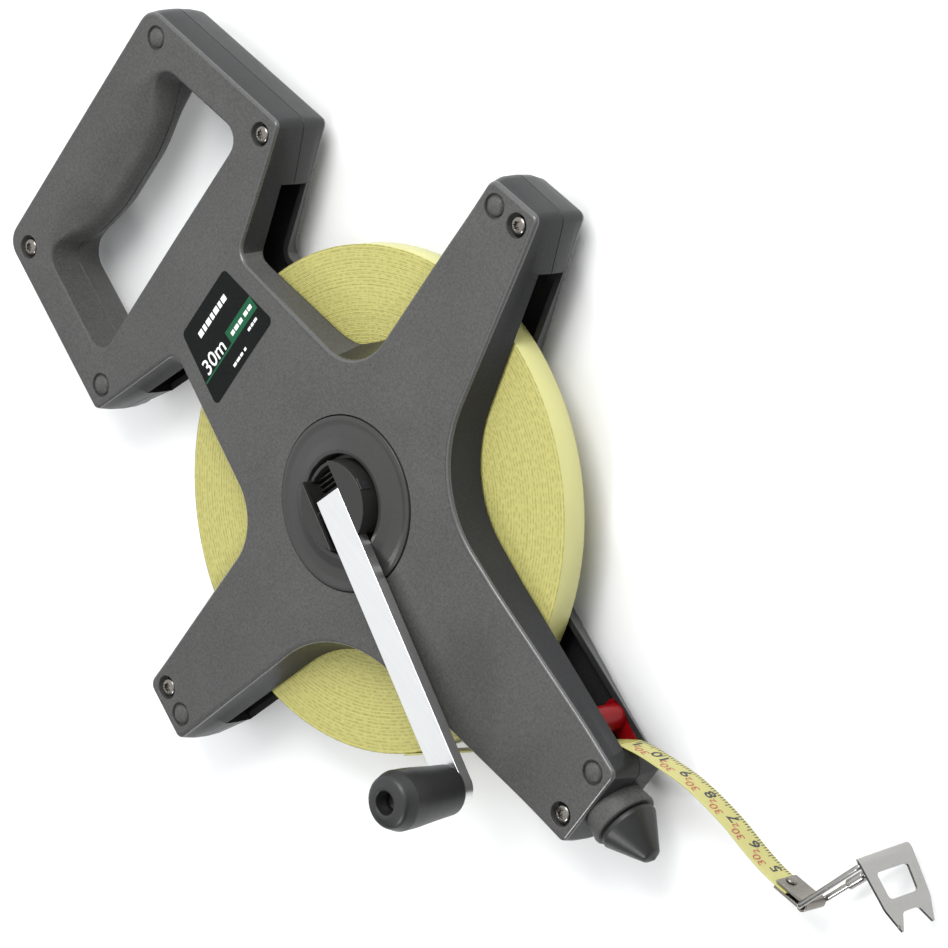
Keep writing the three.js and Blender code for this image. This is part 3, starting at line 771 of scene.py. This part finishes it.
def slot_rows(h, edge, lean):
    """Side wall that stops at the slot, with a small round lip."""
    foot = h - edge
    rows = rounded_edge(h, edge)
    rows += [(lean * 0.5, (foot + LIP) / 2), (lean, LIP + 0.35), (lean + 0.1, LIP + 0.12), (lean, LIP)]
    return rows + [(lean - 2.0, LIP), (lean - 2.5, LIP + 0.5), (-WALL, h - WALL)]


def grip_rows(h):
    """The grip's window side: a quarter of an ellipse from high on the grip down to the seam."""
    inner, outer = 12.5, 3.8
    rows = [(-inner + (inner + outer) * math.sin(t), h - (h - 0.1) * (1 - math.cos(t))) for t in GRIP_ROLL]
    return rows + [(outer - WALL, SEAM_HALF), (outer - WALL - 0.3, SEAM_HALF + 0.5), (-inner + 1.5, h - 3.4)]


def wall_rows(p, window):
    """[offset, height] rows of the side wall at a point of the outline, from the face round to its inside."""
    h = face_height(p.x, p.y)
    lean = lean_at_lip(p, window)
    if window:
        share = grip_share(p)
        plain = plain_rows(h, 1.1, lean, 0.5)
        return [(a + (c - a) * share, b + (d - b) * share) for (a, b), (c, d) in zip(plain, grip_rows(h))]
    edge = 1.2 + 0.3 * eased(abs(p.y), 80, 105) * (p.x > -60)
    return slot_rows(h, edge, lean) if is_open(p) else plain_rows(h, edge, lean, 0.25)


def finish(p, row, depth, window):
    """Which of the shell's plastics a row of the side wall has: the inner rows and the walls take the darker
    plastics of painted shade, but the handle's waist keeps the face's plastic.
    """
    if row >= depth - 3:
        return INSIDE
    # Painted light: the walls of the handle's waist keep the face's lighter plastic in place of the walls'
    # painted shade.
    on_waist = -86 < p.x < -33 and abs(p.y) < 36
    bend = len(ROUNDING) - 1  # rows from here down are below the rounded edge
    if window or row < 1 or (on_waist and bend <= row < bend + 2):
        return FACE
    return EDGES if row < bend else WALLS


def wall_strip(solid, loop, window):
    """Side wall all round one outline. Returns its first and last rows, as loops in the plane."""
    normals = outward(loop, not window)
    columns = [wall_rows(p, window) for p in loop]
    depth = len(columns[0])
    verts = []
    for p, n, rows in zip(loop, normals, columns):
        verts += [(p.x + n.x * off, p.y + n.y * off, z) for off, z in rows]
    faces = net(len(loop), depth, ring=False, loop=True)
    if (turned_area(loop) > 0) == window:
        faces = [face[::-1] for face in faces]
    solid.add(verts, faces)
    solid.indices[-len(faces):] = [finish(p, k, depth, window) for p in loop for k in range(depth - 1)]
    return ([Vector(verts[i * depth + k][:2]) for i in range(len(loop))] for k in (0, depth - 1))


def recess(solid, x, y, radius, profile, count):
    """Walls and floor that go down from a round opening in the face: profile is [radius, depth] below it.
    The opening and the first step follow the slope of the face."""
    verts = []
    for step, (r, depth) in enumerate([(radius, 0), *profile]):
        for px, py in circle(r, count, x, y):
            level = face_height(px, py) if step < 2 else face_height(x, y)
            verts.append((px, py, level - depth))
    faces = [face[::-1] for face in net(len(profile) + 1, count, flip=True)]
    if profile[-1][0] < 1:
        faces.append(list(range(len(profile) * count, (len(profile) + 1) * count)))
    solid.add(verts, faces)


SCREW_SEAT = [(3.9, 0.22), (3.85, 2.35), (0.2, 2.45)]
DOME = [(3.92, 0.2), (3.84, 1.1), (3.3, 1.2), (3.22, 0.8), (3.0, 0.35)]
DOME += [(2.6, -0.05), (1.9, -0.4), (1.1, -0.62), (0.3, -0.7)]
COLLAR_SEAT = [(COLLAR_R + 0.28, 0.3), (COLLAR_R + 0.22, 3.0), (24.4, 3.0), (24.3, 8.5)]


def end_webs():
    """[low corner, high corner] of the walls that close the slots, inside the shell."""
    yield (-25.4, ARM_SLOT, SEAM_HALF), (1.0, ARM_SLOT + WEB, 8.5)
    yield (-25.4, -ARM_SLOT - WEB, SEAM_HALF), (1.0, -ARM_SLOT, 8.5)
    yield (MOUTH_SLOT, -16.2, SEAM_HALF), (MOUTH_SLOT + WEB, 16.2, 9.0)


def block(low, high):
    outline = [(low[0], low[1]), (high[0], low[1]), (high[0], high[1]), (low[0], high[1])]
    return slab(outline, low[2], high[2])


def barrel():
    """Half of the spike's socket, which widens a little to its rim."""
    profile = [(118, 9.2), (126, 9.4), (127.5, 9.6), (133.4, 10.6)]
    profile += [(134.1, 10.45), (134.4, 10.1), (134.4, 5.4), (120, 5.4)]
    turns = [math.pi * i / 40 for i in range(41)]
    verts = [(x, y, max(SEAM_HALF, z)) for x, r in profile for y, z in arc(r, turns)]
    return verts, net(len(profile), len(turns), ring=False, flip=True)


def make_half_shell():
    solid = Solid()
    outline = resampled(round_corners(SIDE + mirrored(SIDE)), 3.5)
    window = resampled(round_corners(WINDOW_SIDE + mirrored(WINDOW_SIDE)), 3.0)
    outer_top, outer_under = wall_strip(solid, outline, False)
    window_top, window_under = wall_strip(solid, window, True)
    holes = []
    for x, y in SCREWS.values():
        recess(solid, x, y, RECESS_R, SCREW_SEAT, 40)
        recess(solid, x, -y, RECESS_R, DOME, 40)
        holes += [circle(RECESS_R, 40, x, y), circle(RECESS_R, 40, x, -y)]
    seat_r = COLLAR_R + 0.45
    recess(solid, 0, 0, seat_r, COLLAR_SEAT, 144)
    holes.append(circle(seat_r, 144))
    verts, faces = fill(outer_top, [window_top, *holes], 5.0, 1.4)
    solid.add([(v.x, v.y, face_height(v.x, v.y)) for v in verts], faces)
    verts, faces = fill(outer_under, [window_under, circle(24.3, 96)], 7.0, 2.0)
    under = [(v.x, v.y, face_height(v.x, v.y) - WALL) for v in verts]
    solid.add(under, [face[::-1] for face in faces], INSIDE)
    for low, high in end_webs():
        solid.add(*block(low, high), WALLS)
    solid.add(*barrel())
    return solid


def make_shells():
    half_shell = make_half_shell()
    for side, matrix in (("front", None), ("rear", FLIP)):
        name = f"{side}_shell_moulded"
        pieces = [node for node in nodes if node.startswith(f"{side}_shell_")]
        half_shell.put(name, SHELL_PLASTICS, "frame", pieces, "frame_plastic", matrix, angle=30, weld=0.004)


make_shells()


# ---- screws ----
def screw_head():
    """A crowned pan head with a six-lobed recess, its underside at z = 0, on a short shank."""
    count = 72
    turns = [TAU * i / count for i in range(count)]
    lobed = [1.32 + 0.22 * math.cos(6 * t) for t in turns]
    rows = [([0.02] * count, 0.75)]
    rows += [([scale * r for r in lobed], z) for scale, z in ((0.93, 0.75), (1.0, 1.62), (1.08, 1.72))]
    crown = [(2.1, 1.62), (2.55, 1.4), (2.85, 1.05), (3.0, 0.6), (3.0, 0.12), (2.9, 0), (1.4, 0), (1.4, -4)]
    rows += [([r] * count, z) for r, z in crown]
    verts = [(r * math.cos(t), r * math.sin(t), z) for radii, z in rows for r, t in zip(radii, turns)]
    return verts, net(len(rows), count, flip=True)


def make_screws():
    turns = random.Random(7)
    verts, faces = screw_head()
    for side, turn_over in (("front", Matrix.Identity(4)), ("rear", FLIP)):
        for name, (x, y) in SCREWS.items():
            seat = face_height(x, y) - SCREW_DEPTH
            turn = Matrix.Rotation(turns.uniform(0, 1), 4, "Z")
            matrix = turn_over @ Matrix.Translation((x, y, seat)) @ turn
            node = f"{side}_screw_{name}"
            put(f"{node}_head", verts, faces, STEEL, "frame", [node], "bright_steel", matrix)


make_screws()


# ---- round parts on the reel axis ----
COLLAR = [
    (BORE_R, 10.5),
    (PLUG_R, 10.5),
    (PLUG_R, 14.0, 0.2),
    (COLLAR_R, 14.0, 0.2),
    (COLLAR_R, 17.15, 0.45),
    (26.3, 17.3, 0.5),
    (24.6, 16.95, 2.5),
    (20.5, 17.55, 4),
    (17.2, 18.75, 0.8),
    (BORE_R, 18.6, 0.35),
]
REAR_CAP = [
    (0, -SEAM),
    (COLLAR_R - 2.0, -SEAM, 0.8),
    (COLLAR_R, -17.0, 0.6),
    (COLLAR_R, -14.0, 0.2),
    (PLUG_R, -14.0),
    (PLUG_R, -10.5),
    (22.1, -10.5),
    (22.1, -15.5),
    (12, -15.5),
    (12, -7.2),
    (AXLE_HOLE_R, -7.2),
    (AXLE_HOLE_R, -17.3),
    (0, -17.3),
]


def make_axis_parts():
    ring = turned(rounded_profile(COLLAR, True), 128, True)
    put("hub_collar_dished", *ring, COLLAR_PLASTIC, "frame", ["hub_collar"], "frame_plastic", angle=40)
    cap = turned(rounded_profile(REAR_CAP), 128)
    put("rear_cap_rounded", *cap, COLLAR_PLASTIC, "frame", ["rear_cap"], "frame_plastic")


make_axis_parts()


# ---- winding and drum ----
WINDING_R = 80
DRUM_R = 40
WINDING_HALF = 4.7
TURN_TOP = [(0.08, 0.06), (0.3, 0), (0.7, 0), (0.92, 0.06)]  # share of a turn's width, drop from its crest


def make_winding():
    """Each turn stands a hair higher or lower than the next, so the faces are finely ribbed."""
    jitter = random.Random(30)
    turns = 72
    first = DRUM_R + 0.3
    step = (WINDING_R - first) / turns
    top = []
    for i in range(turns):
        r = first + i * step
        z = WINDING_HALF - 0.02 - 0.07 * jitter.random()
        top += [(r + across * step, z - down) for across, down in TURN_TOP]
    bottom = [(r, -z) for r, z in top]
    edge = [(WINDING_R - 0.15, -WINDING_HALF), (WINDING_R, -WINDING_HALF + 0.2)]
    edge += [(WINDING_R, WINDING_HALF - 0.2), (WINDING_R - 0.15, WINDING_HALF)]
    inner = [(first, WINDING_HALF - 0.4), (first, 0.4 - WINDING_HALF)]
    segments = 200
    verts, faces = turned(bottom + edge + top[::-1] + inner, segments, True)
    rim = range(len(bottom) * segments, (len(bottom) + 2) * segments)
    indices = [1 if i in rim else 0 for i in range(len(faces))]
    put(
        "tape_winding_turns", verts, faces, [TURN_EDGES, RIM_COAT], "reel", ["tape_winding"], "tape_coat",
        angle=50, indices=indices,
    )


make_winding()


# ---- tape from the winding to the mouth ----
def make_lead():
    verts, faces = strip_body(Strip(LEAD), 59)
    put("tape_lead_strip", verts, faces, TAPE_COAT, "frame", ["tape_lead"], "tape_coat")


make_lead()


# ---- crank ----
CRANK = Matrix.Rotation(math.radians(-17), 4, "Z")  # the crank is made along +X and turned to its rest
BOSS_R = 14
BOSS_Z = 23.4
SLOT_FLOOR = 14.2
SLOT_RIGHT = 5.7  # the slot's two walls, across the arm
SLOT_LEFT = -7.2
ARM_LOW, ARM_HIGH = 18.8, 23.0
CRANK_WIDTH = 10.8
ARM_START = -3.7
CRANK_LENGTH = 96.6
HINGE_X = -0.5
HINGE_Z = 20.6


def circle_segment(radius, start, sign):
    """Outline of the part of a disc beyond y = start, on the side that sign says."""
    half = math.acos(abs(start) / radius)
    first = sign * math.pi / 2 - half
    return arc(radius, [first + 2 * half * i / 40 for i in range(41)])


def make_crank_hub():
    solid = Solid()
    flange = [(AXLE_HOLE_R, 5.6), (22, 5.6), (22, 8.8), (15.3, 8.8), (15.3, SLOT_FLOOR), (0.5, SLOT_FLOOR)]
    solid.add(*turned(flange))
    low = SLOT_FLOOR - 1
    solid.add(*slab(circle_segment(BOSS_R, SLOT_RIGHT, 1), low, BOSS_Z))
    solid.add(*slab(circle_segment(BOSS_R, SLOT_LEFT, -1), low, BOSS_Z - 0.9))
    solid.add(*block((-11.9, SLOT_LEFT - 0.9, low), (11.9, SLOT_LEFT, BOSS_Z + 0.1)))
    for x in (-11.6, -9.9, -8.2, -6.5):
        solid.add(*block((x, SLOT_LEFT - 0.2, low), (x + 0.6, SLOT_RIGHT + 0.2, 17.0)))
    solid.add(*end_wall())
    solid.add(*block((-2.6, 13.1, 18.3), (1.6, 14.25, 22.9)))
    solid.put("crank_hub_slotted", HUB_PLASTIC, "reel", ["crank_hub"], "black_plastic", CRANK, bevel=0.35)
    # A short black plug at the hinge's pin hole: its black is painted shade for the dark inside of the hole.
    hole = tube([(HINGE_X, 13.9, HINGE_Z), (HINGE_X, 14.29, HINGE_Z)], 1.0, 24)
    put("crank_hub_pin_hole_shade", *hole, BLACK_INK, "reel", (), "black_plastic", CRANK)


def end_wall():
    """The boss's low wall round the closed end of the slot."""
    start = math.pi - math.asin(SLOT_RIGHT / BOSS_R) - 0.02
    end = math.pi + math.asin(-SLOT_LEFT / BOSS_R) + 0.02
    turns = np.linspace(start, end, 15)
    return slab(arc(BOSS_R, turns) + arc(BOSS_R - 1.2, turns[::-1]), SLOT_FLOOR - 1, 19.4)


make_crank_hub()


def make_crank_arm():
    half = CRANK_WIDTH / 2
    round_end = arc(half, np.linspace(-math.pi / 2, math.pi / 2, 33)[1:-1], CRANK_LENGTH)
    outline = [(ARM_START, -half), (CRANK_LENGTH, -half), *round_end, (CRANK_LENGTH, half), (ARM_START, half)]
    bar = slab(outline, ARM_LOW, ARM_HIGH)
    put("crank_arm_bar", *bar, BAR, "crank", ["crank_arm"], "bare_aluminium", CRANK, bevel=0.3)


make_crank_arm()


# ---- knob ----
KNOB = CRANK @ Matrix.Translation((CRANK_LENGTH, 0, 0))
KNOB_TOP = 52.5
KNOB_PROFILE = [
    (2.5, 23.4),
    (6.5, 23.4, 0.8),
    (7.9, 25.2, 1.6),
    (8.3, 31, 12),
    (9.3, 42, 16),
    (9.45, 47.5, 2.5),
    (7.9, 51.6, 2.4),
    (5.0, KNOB_TOP, 0.8),
    (3.7, KNOB_TOP, 0.5),
    (3.4, 46.6),
    (2.5, 46.4),
]
KNOB_RIVET = [
    (0, 16.9),
    (3.3, 16.9, 0.8),
    (4.2, 18.5, 0.2),
    (2.2, 18.5),
    (2.2, 46.7),
    (3.1, 46.7, 0.2),
    (3.0, 47.8, 0.5),
    (0, 47.9),
]


def make_knob():
    grip = turned(rounded_profile(KNOB_PROFILE, True, 5), 80, True)
    put("crank_knob_rounded", *grip, RUBBERY, "knob", ["crank_knob"], "black_plastic", KNOB, angle=40)
    rivet = turned(rounded_profile(KNOB_RIVET), 48)
    put("knob_rivet_turned", *rivet, STEEL, "crank", ["knob_rivet"], "bright_steel", KNOB)


make_knob()


# ---- tape guide ----
CHEEK = [(101.6, 12.4, 3), (119.6, 12.4, 2), (119.6, 17.2, 1.5), (108.6, 20.9, 3.4), (102.6, 20.9, 3)]


def make_guide():
    """The red guide: two cheeks, with the round nose and lower lip that the tape runs between."""
    solid = Solid()
    for low, high in ((-6.6, -5.5), (5.5, 6.6)):
        solid.add(*slab(round_corners(CHEEK), low, high))
    for roller in (circle(4.2, 40, 107.6, 16.6), circle(2.6, 32, 119.2, 13.6)):
        solid.add(*slab(roller, -5.7, 5.7))
    solid.put("tape_guide_moulded", RED_PLASTIC, "frame", ["tape_guide"], "red_plastic", bevel=0.35)


make_guide()


# ---- ground spike ----
SPIKE = [
    (0, 122.6),
    (5, 122.6, 0.3),
    (5, 134.7),
    (8.6, 134.7, 0.3),
    (9.3, 135.3, 0.3),
    (9.5, 136.6, 0.9),
    (2.9, 148.2, 1.8),
    (0.3, 149.5),
    (0, 149.5),
]


def make_spike():
    spike = turned(rounded_profile(SPIKE, steps=5))
    along_x = Matrix.Rotation(math.pi / 2, 4, "Y")
    put("ground_spike_turned", *spike, RUBBERY, "frame", ["ground_spike"], "black_plastic", along_x)


make_spike()


# ---- label ----
LABEL = [(-88.6, 14.6, 2), (-88.6, -14.6, 2), (-61, -19.4, 2), (-61, 19.4, 2)]
FILM_LIFT = 0.16  # the film's height over the face
PRINT_LIFT = 0.2
GREEN_BARS = [(-74.1, -68.9, 0.5, 17.2), (-69.6, -68.9, -17.6, 0.5)]  # low x, high x, low y, high y
WHITE_ROWS = [  # low x, high x, lift, and where each block of the row begins and ends
    (-83.2, -81.0, PRINT_LIFT, (-9, -6.6, -6, -4.4, -3.8, -1.4, -0.8, 0.8, 1.4, 3.8, 4.4, 6, 6.6, 9)),
    (-72.2, -70.7, 0.24, (2.5, 4.3, 4.8, 7, 7.5, 9.6, 11, 13, 13.5, 15.6)),
    (-67.3, -66.3, PRINT_LIFT, (9, 10.6, 11, 12.4, 12.8, 14.6)),
    (-64.2, -63.2, PRINT_LIFT, (-4, -2.2, -1.8, 0.2, 0.6, 2.2, 3.2, 4.4)),
]


def draped(points, lift):
    return [(x, y, face_height(x, y) + lift) for x, y in points]


def draped_bar(low_x, high_x, low_y, high_y, lift):
    pieces = 10
    line = [(x, low_y + (high_y - low_y) * i / pieces) for i in range(pieces + 1) for x in (low_x, high_x)]
    return draped(line, lift), net(pieces + 1, 2, ring=False)


def make_label():
    """A black film that follows the face, with a green band and plain generic marks."""
    edge = resampled(round_corners(LABEL), 3)
    verts, faces = fill(edge, [], 4, 1)
    solid = Solid().add(draped(verts, FILM_LIFT), faces)
    solid.add(draped(edge, 0.02) + draped(edge, FILM_LIFT), net(2, len(edge), flip=True))
    for low_x, high_x, low_y, high_y in GREEN_BARS:
        solid.add(*draped_bar(low_x, high_x, low_y, high_y, PRINT_LIFT), index=2)
    points, faces = flat_text("30m", 5.4, 0.06)
    solid.add(draped([(-72.6 - y, -8.6 + x) for x, y in points], 0.22), faces, index=1)
    for low_x, high_x, lift, ends in WHITE_ROWS:
        for start, end in zip(ends[::2], ends[1::2]):
            solid.add(*draped_bar(low_x, high_x, start, end, lift), index=1)
    solid.put("label_film", [LABEL_FILM, WHITE_INK, GREEN_INK], "frame", ["label"], "label_film")


make_label()


# ---- end clip, link ring and hook ----
CHAIN_Z = -6.5
RING_NEAR = Vector((194.3, 31.6))
RING_FAR = Vector((202.5, 61.8))
HOOK_TIP = Vector((224.4, 55.4))
HOOK_LEAN = math.radians(20)
WIRE_R = 0.95
CLIP_START = -4.9  # where the clip's plate begins, measured from the blade's end


def standing(at, aim):
    """A frame at a point of the chain whose X runs along aim."""
    turn = Matrix.Rotation(math.atan2(aim.y, aim.x), 4, "Z")
    return Matrix.Translation((at.x, at.y, CHAIN_Z)) @ turn


def make_clip():
    end = Vector(BLADE[-1][:2])
    aim = RING_NEAR - end
    reach = aim.length
    eye = WIRE_R + 0.3
    outer = eye + 0.7
    loop = [(CLIP_START, 1.45), (-1.0, 1.5), (1.0, 1.5)]
    loop += arc(outer, np.linspace(2.2, -2.2, 25), reach)
    loop += [(1.0, -1.5), (-1.0, -1.5), (CLIP_START, -1.45), (CLIP_START, -0.65), (-0.5, -0.65), (1.4, -0.5)]
    loop += arc(eye, np.linspace(-2.7, 2.7, 25), reach)
    loop += [(1.4, 0.5), (-0.5, 0.65), (CLIP_START, 0.65)]
    matrix = standing(end, aim)
    plate = slab(loop[::-1], -4.6, 4.6)
    put("end_clip_folded", *plate, STEEL, "frame", ["end_clip"], "nickel_steel", matrix, bevel=0.2)
    head = [(0, 0.8), (1.15, 0.8), (1.15, 1.5), (1.9, 1.5, 0.2), (1.5, 2.2, 0.4), (0, 2.3)]
    rivet = turned(rounded_profile(head), 32)
    upright = matrix @ Matrix.Translation((-2.7, 0, 0)) @ Matrix.Rotation(-math.pi / 2, 4, "X")
    put("clip_rivet_turned", *rivet, STEEL, "frame", ["clip_rivet"], "bright_steel", upright)


def make_link():
    aim = RING_FAR - RING_NEAR
    length = aim.length
    near, far = 6.2, 8.0
    skew = far * math.tan(HOOK_LEAN)
    corners = [(0, -near, 2), (length + skew, -far, 1.9), (length - skew, far, 1.9), (0, near, 2)]
    loop = [Vector((p.x, 0, p.y)) for p in round_corners(corners, True, 8)]
    matrix = standing(RING_NEAR, aim)
    wire = tube(loop, WIRE_R, 20, True)
    put("link_ring_wire", *wire, NICKEL, "link", ["link_ring"], "nickel_steel", matrix, angle=60)
    share = 0.4
    middle = Vector(((length + skew) * share, 0, -(near + (far - near) * share)))
    along = Vector((length + skew, 0, near - far)).normalized()
    section = [(0.98, -3.2), (1.7, -3.2, 0.25), (1.7, 3.2, 0.25), (0.98, 3.2)]
    sleeve = turned(rounded_profile(section, True), 32, True)
    place = matrix @ Matrix.Translation(middle) @ along.to_track_quat("Z", "Y").to_matrix().to_4x4()
    put("link_sleeve_round", *sleeve, NICKEL, "link", ["link_sleeve"], "nickel_steel", place)


def finer(loop):
    """The loop in pieces of about 0.5."""
    out = []
    for p, q in zip(loop, loop[1:] + loop[:1]):
        pieces = max(1, round((q - p).length / 0.5))
        out += [p.lerp(q, k / pieces) for k in range(pieces)]
    return out


def make_hook():
    """One stamped sheet: flat from u = 0 to its points, and rolled round the link's bar below u = 0."""
    aim = HOOK_TIP - RING_FAR
    length = aim.length
    sheet = 1.1
    mid = WIRE_R + 0.3 + sheet / 2
    curl = math.radians(148) * mid
    knuckle = math.radians(285) * mid
    side = [(-knuckle, -5), (-curl, -5), (-curl, -9.5, 3.8)]
    side += [(length - 8, -8, 8), (length, -5.5, 0.3), (length - 6, -2.8, 1.4)]
    outline = round_corners(side + mirrored(side))
    opening = [(3.7, -5.6, 1.2), (length - 10.4, -5, 1.4)]
    window = round_corners(opening + mirrored(opening))
    verts, faces = fill(finer(outline), [finer(window)], 0.55, 0.25)

    def rolled(u, v):
        if u >= 0:
            return (u, mid, v)
        turn = math.pi / 2 - u / mid
        return (mid * math.cos(turn), mid * math.sin(turn), v)

    matrix = standing(RING_FAR, aim) @ Matrix.Rotation(HOOK_LEAN, 4, "X")
    stamped = ([rolled(p.x, p.y) for p in verts], faces)
    hook = put("tape_hook_stamped", *stamped, NICKEL, "hook", ["tape_hook"], "nickel_steel", matrix, angle=40)
    skin = hook.modifiers.new("sheet", "SOLIDIFY")
    skin.thickness = sheet * MM
    skin.offset = 0
    add_bevel(hook, 0.18, 50)


make_clip()
make_link()
make_hook()


# ---- model pieces that keep their own shape ----
for name, material in (
    ("axle", STEEL),
    ("crank_hinge_pin", STEEL),
    ("tape_drum", BLACK_PLASTIC),
    ("front_thrust_washer", NYLON),
    ("rear_thrust_washer", NYLON),
):
    nodes[name].data.materials.clear()
    nodes[name].data.materials.append(material)


# ---- floor and light ----
FLOOR_HALF = 4.0  # metres
SKY_STRENGTH = 1.26
SKY_LEAN = (-0.65, 0.35, 1.0)
KEY_WATTS = 8.4
EDGE_WATTS = 4


def make_floor():
    mesh = bpy.data.meshes.new("floor")
    corners = [(x * FLOOR_HALF, y * FLOOR_HALF, 0) for x, y in ((-1, -1), (1, -1), (1, 1), (-1, 1))]
    mesh.from_pydata(corners, [], [[0, 1, 2, 3]])
    floor = bpy.data.objects.new("floor", mesh)
    bpy.context.scene.collection.objects.link(floor)
    pale = Nodes("floor_paper", (0.92, 0.92, 0.915), 0.7)
    mesh.materials.append(pale.material)


def make_light(name, at, toward, size, power):
    data = bpy.data.lights.new(name, "AREA")
    data.shape = "DISK"
    data.size = size
    data.energy = power
    light = bpy.data.objects.new(name, data)
    light.location = at
    light.rotation_euler = (Vector(toward) - Vector(at)).to_track_quat("-Z", "Y").to_euler()
    bpy.context.scene.collection.objects.link(light)


def make_sky():
    """A pale sky, bright overhead and towards -X and +Y, and dim near the horizon."""
    world = bpy.data.worlds.new("studio")
    world.use_nodes = True
    tree = world.node_tree
    shade = tree.nodes["Background"]
    toward = tree.nodes.new("ShaderNodeTexCoord").outputs["Generated"]
    lean = tree.nodes.new("ShaderNodeVectorMath")
    lean.operation = "DOT_PRODUCT"
    lean.inputs[1].default_value = SKY_LEAN
    tree.links.new(toward, lean.inputs[0])
    ramp = tree.nodes.new("ShaderNodeValToRGB")
    stops = ramp.color_ramp.elements
    stops[0].position = 0.12
    stops[0].color = (0.06, 0.062, 0.066, 1)
    stops[1].position = 0.72
    stops[1].color = (0.96, 0.98, 1.0, 1)
    tree.links.new(lean.outputs["Value"], ramp.inputs[0])
    tree.links.new(ramp.outputs[0], shade.inputs[0])
    shade.inputs[1].default_value = SKY_STRENGTH
    bpy.context.scene.world = world


def make_studio():
    make_sky()
    make_light("key", (-0.2, 0.75, 0.75), (0, 0.03, 0), 0.6, KEY_WATTS)
    make_light("edge", (0.62, -0.62, 0.72), (0, 0, 0), 0.22, EDGE_WATTS)
    bpy.context.scene.view_settings.view_transform = "Standard"


make_floor()
make_studio()
